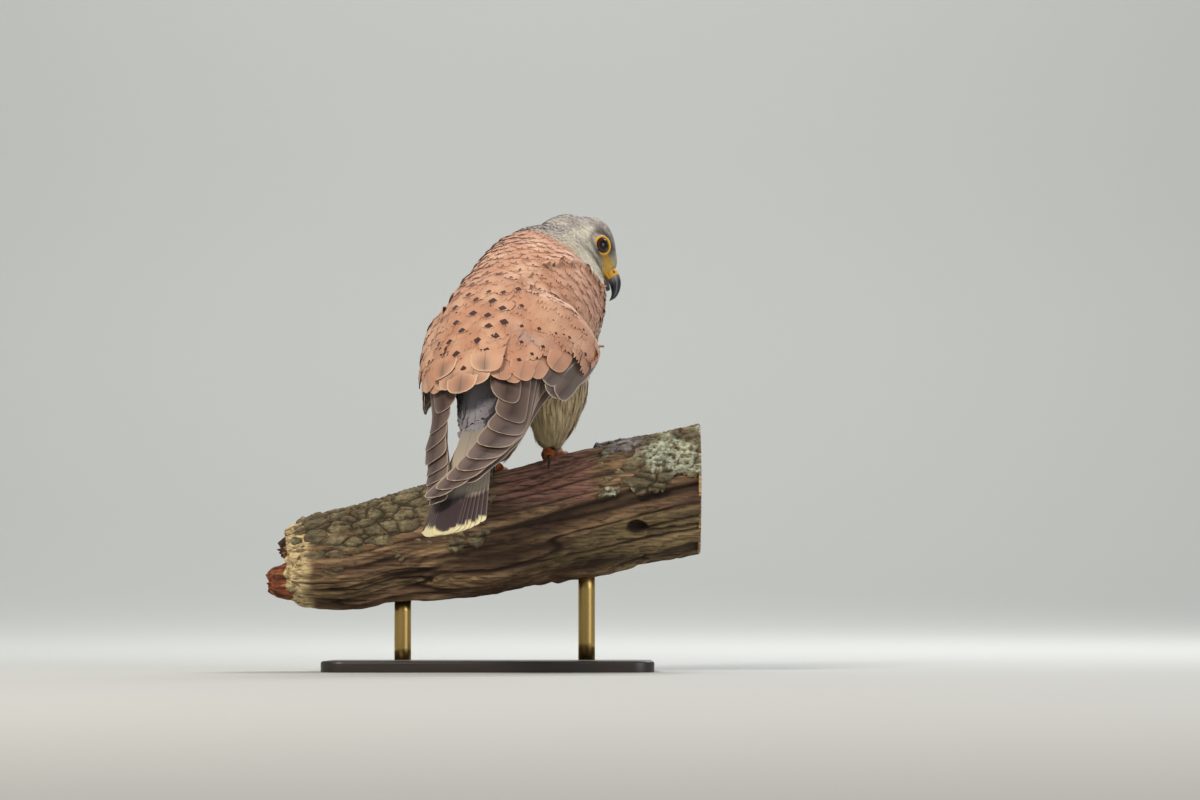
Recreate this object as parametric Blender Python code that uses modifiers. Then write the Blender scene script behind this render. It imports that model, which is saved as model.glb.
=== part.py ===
"""A common kestrel, an adult male, as a still life-size museum model.

The bird grips a short cut length of branch with its back to the viewer and looks down over
its right shoulder. Two rods carry the branch above a flat base. Metres, +Z up; the origin is
the middle of the base's underside, and the viewer looks along +Y. Sizes below are in
millimetres. Pieces of the bird are laid out in its own frame: right, forward, up.
"""

import math

import bmesh
import bpy
import numpy as np
from mathutils import Vector

MM = 0.001
GAP = 0.3
OBJECT_NAME = "common_kestrel"

# Driving sizes of the bird
WRIST = 58.0
WING_LENGTH = 245.0
WING_TIP = WRIST - WING_LENGTH
TAIL_START = -44.0
TAIL_LENGTH = 163.0
TAIL_SPREAD = 46.0
EYE_RADIUS = 6.6
EYE_SPACING = 10.6
TORSO_FRONT = 48.0
RUMP_END = -72.0
TOE_RADIUS = 2.9
CLAW_LENGTH = 11.0

# Vanes: how thick each is, and how far apart the ones that lie over one another sit
VANE_THICK = 0.5
VANE_PITCH = 0.85
VANE_STATIONS = (-65.0, -92.0, -119.0, -146.0)
VANE_OUTLINE = ((0.0, 0.3, 0.7, 0.95), (0.6, 0.92, 0.97, 0.84))
TIP_LENGTH = 5.0
TIP_WIDTH = 0.26

# The stand
BASE_SIZE = (196.0, 124.0, 12.0)
ROD_RADIUS = 5.0
ROD_PLACES = (-52.0, 58.0)


class Frame:
    """A place and three axes, that turn a piece's own coordinates into the model's."""

    def __init__(self, name, origin, right, forward, up):
        self.name = name
        self.origin = np.array(origin, float)
        self.axes = np.array([right, forward, up], float)
        self.axes /= np.linalg.norm(self.axes, axis=1, keepdims=True)

    def out(self, points):
        return self.origin + np.asarray(points, float) @ self.axes



WORLD = Frame("stand_frame", (0, 0, 0), (1, 0, 0), (0, 1, 0), (0, 0, 1))
BODY = Frame("body_frame", (20, -5, 213), (0.88, -0.4304, 0.1877), (0.235, 0.7305, 0.641),
             (-0.413, -0.5197, 0.744))
HEAD = Frame("head_frame", (61.5, 53, 261.5), (0.32, -0.91, 0.27), (0.64, 0.0, -0.77),
             (0.69, 0.42, 0.58))


def clear_scene():
    for old in list(bpy.data.objects):
        bpy.data.objects.remove(old, do_unlink=True)


def new_collection(name, hidden=False):
    made = bpy.data.collections.new(name)
    bpy.context.scene.collection.children.link(made)
    made.hide_render = hidden
    return made


def finish_material(name, colour, roughness, metallic=0.0):
    material = bpy.data.materials.new(name)
    material.use_nodes = True
    shader = material.node_tree.nodes["Principled BSDF"]
    shader.inputs["Base Color"].default_value = (*colour, 1.0)
    shader.inputs["Roughness"].default_value = roughness
    shader.inputs["Metallic"].default_value = metallic
    material.diffuse_color = (*colour, 1.0)
    return material


def mesh_object(name, points, faces, collection):
    """A new object from points in model millimetres and faces that index them."""
    mesh = bpy.data.meshes.new(name)
    mesh.from_pydata([tuple(p * MM) for p in np.asarray(points, float)], [], faces)
    made = bpy.data.objects.new(name, mesh)
    collection.objects.link(made)
    shape = bmesh.new()
    shape.from_mesh(mesh)
    bmesh.ops.recalc_face_normals(shape, faces=shape.faces)
    bmesh.ops.triangulate(shape, faces=shape.faces, quad_method="FIXED")
    shape.to_mesh(mesh)
    shape.free()
    return made


def loft(name, rings, collection, plate=False):
    """A closed body through rings of equally many points.

    Its ends are fanned shut from their middles. On a plate, whose rings run along the upper
    face and back along the lower one, they are closed by strips between the two faces.
    """
    count = len(rings[0])
    points = [p for ring in rings for p in ring]
    faces = []
    for level in range(len(rings) - 1):
        for k in range(count):
            a = level * count + k
            b = level * count + (k + 1) % count
            faces.append((a, b, b + count, a + count))
    top = (len(rings) - 1) * count
    if plate:
        for k in range(count // 2 - 1):
            across = count - 1 - k
            faces.append((k, across, across - 1, k + 1))
            faces.append((top + k, top + k + 1, top + across - 1, top + across))
        return mesh_object(name, points, faces, collection)
    points.append(np.mean(rings[0], axis=0))
    points.append(np.mean(rings[-1], axis=0))
    first, last = len(points) - 2, len(points) - 1
    for k in range(count):
        faces.append((first, (k + 1) % count, k))
        faces.append((last, top + k, top + (k + 1) % count))
    return mesh_object(name, points, faces, collection)


def oval(centre, side, rise, half_side, half_up, half_down, count=16):
    """A ring that is taller above its centre than below it, or the other way round."""
    ring = []
    for k in range(count):
        angle = 2 * math.pi * k / count
        high = half_up if math.sin(angle) > 0 else half_down
        ring.append(np.asarray(centre) + np.asarray(side) * (half_side * math.cos(angle))
                    + np.asarray(rise) * (high * math.sin(angle)))
    return np.array(ring)


def smooth_through(keys, values, wanted):
    """Values at the wanted keys, on a smooth curve through the given ones."""
    keys = np.asarray(keys, float)
    values = np.asarray(values, float)
    if keys[0] > keys[-1]:
        keys, values = keys[::-1], values[::-1]
    slope = np.gradient(values, keys, axis=0)
    wanted = np.clip(np.atleast_1d(wanted), keys[0], keys[-1])
    at = np.clip(np.searchsorted(keys, wanted, side="right") - 1, 0, len(keys) - 2)
    span = keys[at + 1] - keys[at]
    t = (wanted - keys[at]) / span
    shape = (-1,) + (1,) * (values.ndim - 1)
    t, span = t.reshape(shape), span.reshape(shape)
    return ((2 * t**3 - 3 * t**2 + 1) * values[at] + (t**3 - 2 * t**2 + t) * span * slope[at]
            + (3 * t**2 - 2 * t**3) * values[at + 1] + (t**3 - t**2) * span * slope[at + 1])


def tube(name, path, radii, collection, sides=8):
    """A body of round sections along a path, each section square to the path there."""
    path = np.asarray(path, float)
    along = np.gradient(path, axis=0)
    along /= np.linalg.norm(along, axis=1, keepdims=True)
    side = np.cross(along[0], (0.31, 0.17, 0.94))
    rings = []
    for point, way, radius in zip(path, along, radii):
        side = side - way * (side @ way)
        side /= np.linalg.norm(side)
        rise = np.cross(way, side)
        rings.append(oval(point, side, rise, radius, radius, radius, sides))
    return loft(name, rings, collection)


def ball(name, centre, radius, collection, segments=16, rings=12):
    shape = bmesh.new()
    bmesh.ops.create_uvsphere(shape, u_segments=segments, v_segments=rings, radius=radius * MM)
    bmesh.ops.translate(shape, vec=Vector(np.asarray(centre, float) * MM), verts=shape.verts)
    mesh = bpy.data.meshes.new(name)
    shape.to_mesh(mesh)
    shape.free()
    made = bpy.data.objects.new(name, mesh)
    collection.objects.link(made)
    return made


def settle(target):
    """Replaces an object's mesh by what its modifiers make of it."""
    graph = bpy.context.evaluated_depsgraph_get()
    graph.update()
    mesh = bpy.data.meshes.new_from_object(target.evaluated_get(graph))
    target.modifiers.clear()
    target.data = mesh
    return target


def largest_surface(target):
    """Keeps the largest closed surface, so a sealed hollow is filled and a scrap is dropped."""
    shape = bmesh.new()
    shape.from_mesh(target.data)
    bmesh.ops.triangulate(shape, faces=shape.faces)
    left = set(shape.faces)
    surfaces = []
    while left:
        seed = left.pop()
        surface, front = [seed], [seed]
        while front:
            for edge in front.pop().edges:
                for face in edge.link_faces:
                    if face in left:
                        left.discard(face)
                        surface.append(face)
                        front.append(face)
        surfaces.append(surface)
    best = max(surfaces, key=lambda surface: sum(face.calc_area() for face in surface))
    scraps = [face for surface in surfaces if surface is not best for face in surface]
    bmesh.ops.delete(shape, geom=scraps, context="FACES")
    shape.to_mesh(target.data)
    shape.free()
    return target


def boolean(target, operation, pieces, solver="MANIFOLD"):
    """One Boolean of the target with a collection of closed pieces, which then go."""
    group = bpy.data.collections.new("pieces")
    bpy.context.scene.collection.children.link(group)
    for piece in pieces:
        for owner in list(piece.users_collection):
            owner.objects.unlink(piece)
        group.objects.link(piece)
    step = target.modifiers.new(operation.lower(), "BOOLEAN")
    step.operation = operation
    step.operand_type = "COLLECTION"
    step.collection = group
    step.solver = solver
    settle(target)
    for piece in pieces:
        bpy.data.objects.remove(piece, do_unlink=True)
    bpy.data.collections.remove(group)
    return largest_surface(target)


def swollen(source, by, collection):
    """A copy of a body, pushed out along its surface, to cut a neighbour clear of it."""
    made = source.copy()
    made.data = source.data.copy()
    collection.objects.link(made)
    push = made.modifiers.new("push", "DISPLACE")
    push.strength = by * MM
    push.mid_level = 0.0
    return settle(made)


def half_space(name, point, normal, collection, reach=260.0):
    """A box whose one face lies on a plane, and that fills the side its normal points to."""
    normal = Vector(normal).normalized()
    shape = bmesh.new()
    bmesh.ops.create_cube(shape, size=reach * MM)
    turn = Vector((0, 0, 1)).rotation_difference(normal).to_matrix()
    bmesh.ops.rotate(shape, matrix=turn, verts=shape.verts)
    centre = Vector(np.asarray(point, float)) * MM + normal * (reach * MM / 2)
    bmesh.ops.translate(shape, vec=centre, verts=shape.verts)
    mesh = bpy.data.meshes.new(name)
    shape.to_mesh(mesh)
    shape.free()
    made = bpy.data.objects.new(name, mesh)
    collection.objects.link(made)
    return made


def twin(source, name, collection):
    made = source.copy()
    made.data = source.data.copy()
    made.name = name
    collection.objects.link(made)
    return made


# The flesh: torso, neck and head are modelled whole, and parted by thin cuts
TORSO_KEYS = (70, 60, 45, 22, 0, -20, -40, -58, -72, -86)
TORSO_WIDE = (24, 33, 40, 43, 43, 40, 34, 27, 21, 14)
TORSO_TOP = (24, 31, 38, 43, 45, 44, 40, 33, 25, 15)
TORSO_LOW = (-26, -36, -44, -48, -47, -42, -33, -22, -11, -3)
NECK_PATH = ((0, 50, -2), (5, 62, -3), (10, 73, -4), (14, 82, -5))
NECK_RADII = (34, 30, 24.5, 18.5)
NAPE_MIDDLE = (44, 47, 262)
NAPE_RADIUS = 21.5
SKULL_KEYS = (-22.5, -20, -15, -8, 0, 7, 13, 17, 18.5)
SKULL_WIDE = (4, 10.5, 15, 16.8, 14.6, 11.6, 8.8, 7.1, 6.2)
SKULL_HIGH = (4, 11.5, 16.2, 18.4, 17.5, 14.6, 11.0, 8.2, 6.8)
SKULL_MID = (-1, -0.6, 0.3, 0.6, 0.3, -0.5, -1.0, -1.6, -2.0)
EYE_LOOK = (0.92, 0.33, 0.10)
GAPE_PATH = ((4.4, 18.5, -5.4), (7.2, 15.0, -6.6), (9.3, 10.5, -8.0), (10.8, 6.0, -9.0))
GAPE_RADII = (0.7, 0.75, 0.7, 0.3)
FLESH_GRAIN = 2.2
FLESH_FACES = 1250


def make_flesh(collection):
    torso = []
    for f, wide, top, low in zip(TORSO_KEYS, TORSO_WIDE, TORSO_TOP, TORSO_LOW):
        middle = (top + low) / 2
        ring = oval((0, f, middle), (1, 0, 0), (0, 0, 1), wide, top - middle, middle - low, 24)
        torso.append(BODY.out(ring))
    flesh = loft("flesh", torso, collection)
    neck = []
    path = np.array(NECK_PATH, float)
    ways = np.gradient(path, axis=0)
    for point, way, radius in zip(path, ways, NECK_RADII):
        way = way / np.linalg.norm(way)
        side = np.cross(way, (0, 0, 1))
        side /= np.linalg.norm(side)
        neck.append(BODY.out(oval(point, side, np.cross(side, way), radius, radius, radius, 20)))
    skull = []
    for f, wide, high, middle in zip(SKULL_KEYS, SKULL_WIDE, SKULL_HIGH, SKULL_MID):
        skull.append(HEAD.out(oval((0, f, middle), (1, 0, 0), (0, 0, 1), wide, high, high, 20)))
    pieces = [loft("neck_form", neck, collection), loft("skull_form", skull, collection),
              ball("nape_form", NAPE_MIDDLE, NAPE_RADIUS, collection, 20, 14)]
    boolean(flesh, "UNION", pieces)
    grain = flesh.modifiers.new("grain", "REMESH")
    grain.mode = "VOXEL"
    grain.voxel_size = FLESH_GRAIN * MM
    soft = flesh.modifiers.new("soft", "SMOOTH")
    soft.factor = 0.5
    soft.iterations = 6
    settle(flesh)
    fewer = flesh.modifiers.new("fewer", "DECIMATE")
    fewer.ratio = min(1.0, FLESH_FACES / (2.0 * len(flesh.data.polygons)))
    fewer.use_collapse_triangulate = True
    settle(flesh)
    return largest_surface(flesh)


def part_flesh(flesh, model, cutters):
    """Parts the flesh into torso, neck and head, a gap apart at each cut."""
    front = BODY.out((0, TORSO_FRONT, 0))
    forward = BODY.axes[1]
    rump = BODY.out((0, RUMP_END, 0))
    throat = np.array((42.0, 48.0, 246.0))
    nape = np.array((0.50, 0.25, 0.83))
    nape /= np.linalg.norm(nape)
    torso = twin(flesh, "torso", model)
    boolean(torso, "DIFFERENCE", [half_space("cut", front, forward, cutters),
                                  half_space("cut", rump, -forward, cutters)])
    neck = twin(flesh, "neck", model)
    boolean(neck, "DIFFERENCE", [half_space("cut", front + forward * GAP, -forward, cutters),
                                 half_space("cut", throat, nape, cutters)])
    head = twin(flesh, "head", model)
    boolean(head, "DIFFERENCE", [half_space("cut", front + forward * GAP, -forward, cutters),
                                 half_space("cut", throat + nape * GAP, -nape, cutters)])
    bpy.data.objects.remove(flesh, do_unlink=True)
    return torso, neck, head


def make_head(head, model, cutters):
    """Lids, eyes, bill and the line of the mouth."""
    made = {}
    rings, sockets = [], []
    for label, hand in (("left", -1), ("right", 1)):
        look = np.array((hand * EYE_LOOK[0], EYE_LOOK[1], EYE_LOOK[2]))
        look /= np.linalg.norm(look)
        centre = np.array((hand * EYE_SPACING, 0.0, 0.0))
        eye = ball("eye_" + label, HEAD.out(centre), EYE_RADIUS, model, 14, 8)
        made["eye_" + label] = eye
        across = np.cross(look, (0, 0, 1))
        across /= np.linalg.norm(across)
        rise = np.cross(across, look)
        turns = np.linspace(0, 2 * math.pi, 12, endpoint=False)
        hoop = []
        for turn in turns:
            way = across * math.cos(turn) + rise * math.sin(turn)
            middle = centre + look * 4.5 + way * 5.7
            section = []
            for k in range(4):
                angle = 2 * math.pi * k / 4
                section.append(middle + way * (1.15 * math.cos(angle)) + look * (1.0 * math.sin(angle)))
            hoop.append(HEAD.out(np.array(section)))
        rings.append(hoop_body("lid_" + label, hoop, cutters))
        sockets.append(ball("socket", HEAD.out(centre), EYE_RADIUS + 2 * GAP, cutters, 12, 7))
    boolean(head, "UNION", rings)
    boolean(head, "DIFFERENCE", sockets)

    path = np.array(((0, 14.5, -1.8), (0, 19.0, -1.1), (0, 23.2, -2.2), (0, 26.6, -4.9),
                     (0, 29.0, -8.5), (0, 29.8, -12.6)))
    half_high = (5.6, 5.0, 4.1, 3.0, 1.8, 0.35)
    half_wide = (6.0, 5.2, 4.1, 2.8, 1.6, 0.35)
    ways = np.gradient(path, axis=0)
    bill = []
    for point, way, high, wide in zip(path, ways, half_high, half_wide):
        way = way / np.linalg.norm(way)
        rise = np.cross((1, 0, 0), way)
        bill.append(HEAD.out(oval(point, (1, 0, 0), rise, wide, high, high * 0.8, 12)))
    whole = loft("bill_whole", bill, cutters)
    lower_path = ((0, 13.0, -7.2), (0, 17.5, -7.9), (0, 21.4, -8.3), (0, 24.6, -8.2))
    lower = []
    for point, high, wide in zip(lower_path, (2.9, 2.7, 2.2, 0.9), (4.9, 4.3, 3.3, 1.5)):
        lower.append(HEAD.out(oval(point, (1, 0, 0), (0, 0, 1), wide, high, high, 10)))
    bill_lower = loft("bill_lower", lower, model)
    nostrils = [ball("nostril", HEAD.out((side * 5.2, 17.9, 0.0)), 1.1, cutters, 8, 6)
                for side in (-1, 1)]
    split = HEAD.out((0, 20.0, 0))
    ahead = HEAD.out((0, 1, 0.1)) - HEAD.out((0, 0, 0))
    cere = twin(whole, "cere", model)
    back = HEAD.out((0, 15.2, 0))
    boolean(cere, "DIFFERENCE", [half_space("cut", split, ahead, cutters),
                                 half_space("cut", back, -ahead, cutters)] + nostrils)
    upper = twin(whole, "bill_upper", model)
    boolean(upper, "DIFFERENCE", [half_space("cut", split + ahead * GAP, -ahead, cutters)])
    boolean(bill_lower, "DIFFERENCE", [swollen(whole, GAP, cutters),
                                       half_space("cut", HEAD.out((0, 15.2, 0)), -ahead, cutters)])
    gapes = [tube("gape", HEAD.out(np.array(GAPE_PATH) * (side, 1, 1)), GAPE_RADII, cutters, sides=5)
             for side in (-1, 1)]
    boolean(head, "DIFFERENCE", [swollen(cere, GAP, cutters), swollen(bill_lower, GAP, cutters)]
            + gapes)
    bpy.data.objects.remove(whole, do_unlink=True)
    made.update(cere=cere, bill_upper=upper, bill_lower=bill_lower)
    return made


def hoop_body(name, sections, collection):
    """A closed ring through sections, the last joined to the first."""
    count = len(sections[0])
    faces = []
    for level in range(len(sections)):
        ahead = (level + 1) % len(sections)
        for k in range(count):
            over = (k + 1) % count
            faces.append((level * count + k, level * count + over,
                          ahead * count + over, ahead * count + k))
    return mesh_object(name, np.concatenate(sections), faces, collection)


class Sheet:
    """The outer face of a folded wing: a surface between a lower and an upper border.

    A place on it is how far forward it is and its share of the way from the lower border to
    the upper one; a height stands off along the surface's own outward direction.
    """

    def __init__(self, hand, keys, low, top, bulge):
        self.hand, self.keys, self.low, self.top, self.bulge = hand, keys, low, top, bulge

    def borders(self, f):
        low = smooth_through(self.keys, self.low, f)[0]
        top = smooth_through(self.keys, self.top, f)[0]
        return low, top

    def width(self, f):
        low, top = self.borders(f)
        return float(np.linalg.norm(top - low)) + 1.3 * self.swell(f)

    def swell(self, f):
        return float(smooth_through(self.keys, self.bulge, f)[0])

    def flat_point(self, f, share):
        low, top = self.borders(f)
        chord = top - low
        out = self.hand * np.array((chord[1], -chord[0])) / np.linalg.norm(chord)
        place = low + chord * share + out * (self.swell(f) * 4 * share * (1 - share))
        return np.array((place[0], f, place[1]))

    def point(self, f, share, height=0.0):
        here = self.flat_point(f, share)
        if height == 0.0:
            return here
        along = self.flat_point(f - 1.0, share) - self.flat_point(f + 1.0, share)
        across = self.flat_point(f, share + 0.02) - self.flat_point(f, share - 0.02)
        out = self.hand * np.cross(across, along)
        return here + out * (height / np.linalg.norm(out))


SHEET_KEYS = (50, 15, -15, -41, -74, -105, -130, -152, WING_TIP)
RIGHT_WING = Sheet(1, SHEET_KEYS,
                   ((34, -22), (50, -24), (55, -23), (54, -20), (44, -12), (37, -7), (34, 3),
                    (30, 9), (14, 11.5)),
                   ((24, 29), (14, 42), (9, 46), (8, 42), (10, 34), (14, 22), (5, 20), (-5, 18.5),
                    (-16, 16.5)),
                   (9, 16, 19, 16, 9, 4, 3, 2, 1))
LEFT_WING = Sheet(-1, SHEET_KEYS,
                  ((-34, -22), (-50, -23), (-55, -17), (-54, -6), (-47, 2), (-36, 5), (-25, 7),
                   (-15, 9), (-4, 9)),
                  ((-24, 29), (-14, 42), (-9, 46), (-8, 42), (-9, 34), (-5, 19), (0, 13), (4, 11),
                   (7, 10)),
                  (9, 16, 19, 16, 9, 4, 3, 2, 1))

# Flight feathers of one wing, from the uppermost to the lowest: how far short of the wing tip
# each ends, the share of the sheet where it starts and where it ends, and its half width
SECONDARIES = ((85, 0.84, 0.68, 12), (72, 0.73, 0.47, 12), (58, 0.62, 0.35, 12),
               (44, 0.52, 0.29, 11.5))
PRIMARIES = ((32, 0.44, 0.27, 11), (22, 0.37, 0.27, 10.5), (14, 0.30, 0.30, 10),
             (7, 0.23, 0.37, 9), (1, 0.16, 0.48, 8), (15, 0.10, 0.14, 5))
GREATER_COVERTS = ((-68, 0.34, 0.30, 9), (-80, 0.46, 0.44, 9.5), (-86, 0.59, 0.57, 9.5),
                   (-90, 0.72, 0.69, 9.5), (-91, 0.84, 0.82, 9))
PRIMARY_COVERTS = ((-77, 0.24, 0.26, 8.5), (-80, 0.15, 0.15, 8.5), (-77, 0.08, 0.07, 7.5))
FIRST_PRIMARY = len(SECONDARIES) + 1
ARM_END = -36.0
FLIGHT_ROOT = -47.0
COVERT_ROOT = -30.0


def top_index(f):
    """Which of the stacked feathers is uppermost this far back, as a running number."""
    short = [short for short, *_ in SECONDARIES + PRIMARIES[:-1]]
    levels = list(range(len(SECONDARIES))) + [FIRST_PRIMARY + k for k in range(len(PRIMARIES) - 1)]
    return float(np.interp(WING_TIP - f, [-value for value in short], levels))


def vane(name, place, start, end, middle, half, height, collection, thick=VANE_THICK):
    """One feather: a thin tapered vane, thicker along its shaft, round at its tip.

    Feathers that lie over one another bend at the same stations, so that they stay parallel.
    """
    between = [f for f in VANE_STATIONS if end + 2 * TIP_LENGTH < f < start - TIP_LENGTH]
    stations = [start] + between + [end + TIP_LENGTH, end]
    points = []
    for f in stations:
        share = (f - start) / (end - start)
        wide = TIP_WIDTH if f == end else float(np.interp(share, *VANE_OUTLINE))
        centre, span = middle(share, f)
        reach = half * wide / span
        lift = height(f)
        for edge, rise in ((-1, -0.12), (0, 0.0), (1, -0.12)):
            where = centre + edge * reach
            points.append(place(f, where, lift + rise))
            points.append(place(f, where, lift + rise - thick * (1.0 if edge else 1.15)))
    faces = []
    count = len(stations)
    for k in range(count - 1):
        a, b = 6 * k, 6 * (k + 1)
        for left in (0, 2):
            faces.append((a + left, a + left + 2, b + left + 2))
            faces.append((a + left, b + left + 2, b + left))
            faces.append((a + left + 1, b + left + 3, a + left + 3))
            faces.append((a + left + 1, b + left + 1, b + left + 3))
        faces.append((a, b, b + 1))
        faces.append((a, b + 1, a + 1))
        faces.append((a + 4, b + 5, b + 4))
        faces.append((a + 4, a + 5, b + 5))
    for a, order in ((0, 1), (6 * (count - 1), -1)):
        faces.append((a, a + 1, a + 3, a + 2)[::order])
        faces.append((a + 2, a + 3, a + 5, a + 4)[::order])
    return mesh_object(name, BODY.out(np.array(points)), faces, collection)


def slab(name, place, keys, shares, top, low, collection):
    """A thick plate that follows a sheet: a grid of places with an upper and a lower face."""
    rings = []
    for f in keys:
        upper = [place(f, s, top(f, s)) for s in shares]
        lower = [place(f, s, low(f, s)) for s in reversed(shares)]
        rings.append(BODY.out(np.array(upper + lower)))
    return loft(name, rings, collection, plate=True)


def make_wing(label, sheet, torso, model, cutters):
    """The arm with its covert tiers, the secondaries and the primaries of one wing."""
    made = {}

    def arm_top(f, share):
        edge = 1 - abs(2 * share - 1) ** 5
        front = 1 - max(0.0, (f - 20) / 34) ** 2
        return -7.0 + 7.0 * edge * front

    shares = (0.0, 0.06, 0.16, 0.3, 0.45, 0.6, 0.75, 0.88, 1.0)
    keys = (52, 47, 38, 25, 10, -8, -22, ARM_END)
    arm = slab("wing_" + label + "_coverts", sheet.point, keys, shares, arm_top,
               lambda f, share: -24.0, model)
    name = "wing_" + label

    def covert_tier(feathers, level):
        vanes = []
        for k, (end, share_in, share_out, half) in enumerate(feathers):
            def middle(along, f, a=share_in, b=share_out):
                return a + (b - a) * along, sheet.width(f)

            def height(f, depth=level + (k % 2)):
                return -VANE_PITCH * depth - 0.1
            vanes.append(vane(name + "_vane", sheet.point, COVERT_ROOT, end, middle, half, height,
                              cutters))
        return vanes

    boolean(arm, "UNION", covert_tier(GREATER_COVERTS, 0) + covert_tier(PRIMARY_COVERTS, 2))
    boolean(arm, "DIFFERENCE", [swollen(torso, GAP, cutters)])
    made["coverts"] = arm

    base_level = 4.5
    for group, feathers, first in (("secondaries", SECONDARIES, 0),
                                   ("primaries", PRIMARIES, FIRST_PRIMARY)):
        last = first + len(feathers) - 1
        vanes = []
        for k, (short, share_in, share_out, half) in enumerate(feathers):
            end = WING_TIP + short

            def middle(along, f, a=share_in, b=share_out):
                return a + (b - a) * along, sheet.width(f)

            def height(f, level=first + k):
                return -VANE_PITCH * (base_level * clamp_rise(f) + level - top_index(f))
            vanes.append(vane("vane", sheet.point, FLIGHT_ROOT + 6, end, middle, half, height,
                              cutters))
        lows = [share - half / sheet.width(FLIGHT_ROOT) * 0.5 for _, share, _, half in feathers]
        tops = [share + half / sheet.width(FLIGHT_ROOT) * 0.5 for _, share, _, half in feathers]
        reach = np.linspace(max(0.01, min(lows)), min(0.99, max(tops)), 6)

        def block_top(f, share, level=first):
            return -VANE_PITCH * (base_level + level) + 0.15

        def block_low(f, share, level=last):
            return -VANE_PITCH * (base_level + level) - VANE_THICK - 0.15
        root = slab(name + "_" + group, sheet.point,
                    (ARM_END - GAP, (ARM_END + FLIGHT_ROOT) / 2, FLIGHT_ROOT), tuple(reach),
                    block_top, block_low, model)
        boolean(root, "UNION", vanes)
        boolean(root, "DIFFERENCE", [swollen(torso, GAP, cutters)])
        made[group] = root
    return made


def clamp_rise(f):
    """One over the arm, easing to none where the covert tiers have ended."""
    return float(np.interp(-f, (93, 122), (1.0, 0.0)))


# The scapulars: broad feathers of the back that lie over both folded wings
SCAPULAR_KEYS = (-4, -22, -34, -45, -60, -75, -90, -104)
SCAPULAR_RISE = (47.6, 47.1, 46.8, 45.6, 42.5, 37.8, 31.7, 26.6)
SCAPULAR_SLAB = (-5.0, -13.0, -22.0, -32.0)
SCAPULARS = ((-80, 20, 24, 9.5), (-91, 13.5, 16, 10), (-99, 7, 8, 10), (-103, 0, 0, 10),
             (-99, -7, -8, 10), (-90, -13.5, -16, 10), (-79, -20, -24, 9.5))


def scapular_place(f, x, height=0.0):
    """A place on the scapulars' own surface, across the back and how far forward."""
    rise = float(smooth_through(SCAPULAR_KEYS, SCAPULAR_RISE, f)[0])
    return np.array((x, f, rise - 0.0075 * x * x - 0.055 * x + height))


def make_scapulars(parts, model, cutters):
    """A pad across the back, cut to the shape below it, with nine long feathers."""
    across = (-26.0, -16.0, -6.0, 6.0, 16.0, 26.0)

    def pad_top(f, x):
        front = max(0.0, (f + 22) / 17)
        return 0.45 - 3.0 * front ** 1.5

    pad = slab("scapulars", scapular_place, SCAPULAR_SLAB, across, pad_top,
               lambda f, x: -4.0, model)
    vanes = []
    for k, (end, start_x, end_x, half) in enumerate(SCAPULARS):
        def middle(along, f, a=start_x, b=end_x):
            return a + (b - a) * along, 1.0

        def height(f, depth=k % 2):
            return -VANE_PITCH * depth
        vanes.append(vane("vane", scapular_place, -26.0, end, middle, half, height, cutters, 0.6))
    boolean(pad, "UNION", vanes)
    under = [parts["torso"], parts["wing_left_coverts"], parts["wing_right_coverts"]]
    boolean(pad, "DIFFERENCE", [swollen(piece, 2 * GAP, cutters) for piece in under])
    return pad


# The tail: twelve feathers from a root that carries on the rump
TAIL_TIP = TAIL_START - TAIL_LENGTH
TAIL_ROOT_KEYS = (-72.3, -84, -96, -108, -118)
TAIL_ROOT_WIDE = (20.5, 17, 13.5, 10, 6)
TAIL_ROOT_TOP = (24, 18, 13, 9, 6.6)
TAIL_ROOT_LOW = (-10.5, -5.5, -2, 0.5, 2.8)
TAIL_SWING = 9.0


def tail_place(f, x, height):
    """A place on the tail: across it in millimetres, and a height above its upper face."""
    back = (-f - 70.0) / (-TAIL_TIP - 70.0)
    arch = -0.006 * x * x
    return np.array((x + TAIL_SWING * max(0.0, back) ** 1.3, f, 8.5 - 6.0 * back + arch + height))


def make_tail(model, cutters):
    rings = []
    for f, wide, top, low in zip(TAIL_ROOT_KEYS, TAIL_ROOT_WIDE, TAIL_ROOT_TOP, TAIL_ROOT_LOW):
        middle = (top + low) / 2
        shift = tail_place(f, 0, 0)[0]
        ring = oval((shift, f, middle), (1, 0, 0), (0, 0, 1), wide, top - middle, middle - low, 16)
        rings.append(BODY.out(ring))
    tail = loft("tail", rings, model)
    vanes = []
    half_spread = TAIL_SPREAD / 2
    for hand in (-1, 1):
        for k in range(6):
            fan = (k + 0.35) / 5.5
            end = TAIL_TIP + 9.0 * fan ** 2 * 1.4 + (0.0 if hand > 0 else 0.6)
            level = 2 * k + (1 if hand > 0 else 0)
            half = 8.6 - 0.5 * k

            def middle(along, f, side=hand, share=fan):
                return side * share * (2.5 + (half_spread - 9.5) * along), 1.0

            def height(f, depth=level):
                return -0.42 * VANE_PITCH * 2 * depth / 2
            vanes.append(vane("vane", tail_place, -90.0, end, middle, half, height, cutters,
                              thick=0.45))
    boolean(tail, "UNION", vanes)
    return tail


# The perch, a broken branch end: rings from left to right, each a middle height and half sizes
PERCH_KEYS = (-122, -114, -98, -80, -56, -28, 0, 34, 66, 96, 126)
PERCH_MID = (71, 70, 70.3, 72.4, 79, 83.5, 87.4, 95, 102, 109, 115)
PERCH_HIGH = (22, 26, 29.3, 32, 33, 36.5, 38.4, 38, 39, 38.7, 39)
PERCH_DEEP = (22, 26, 29, 31, 32, 34, 35, 35.5, 36, 36, 36)
BARK_THICK = 4.0
PERCH_SIDES = 18


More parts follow.
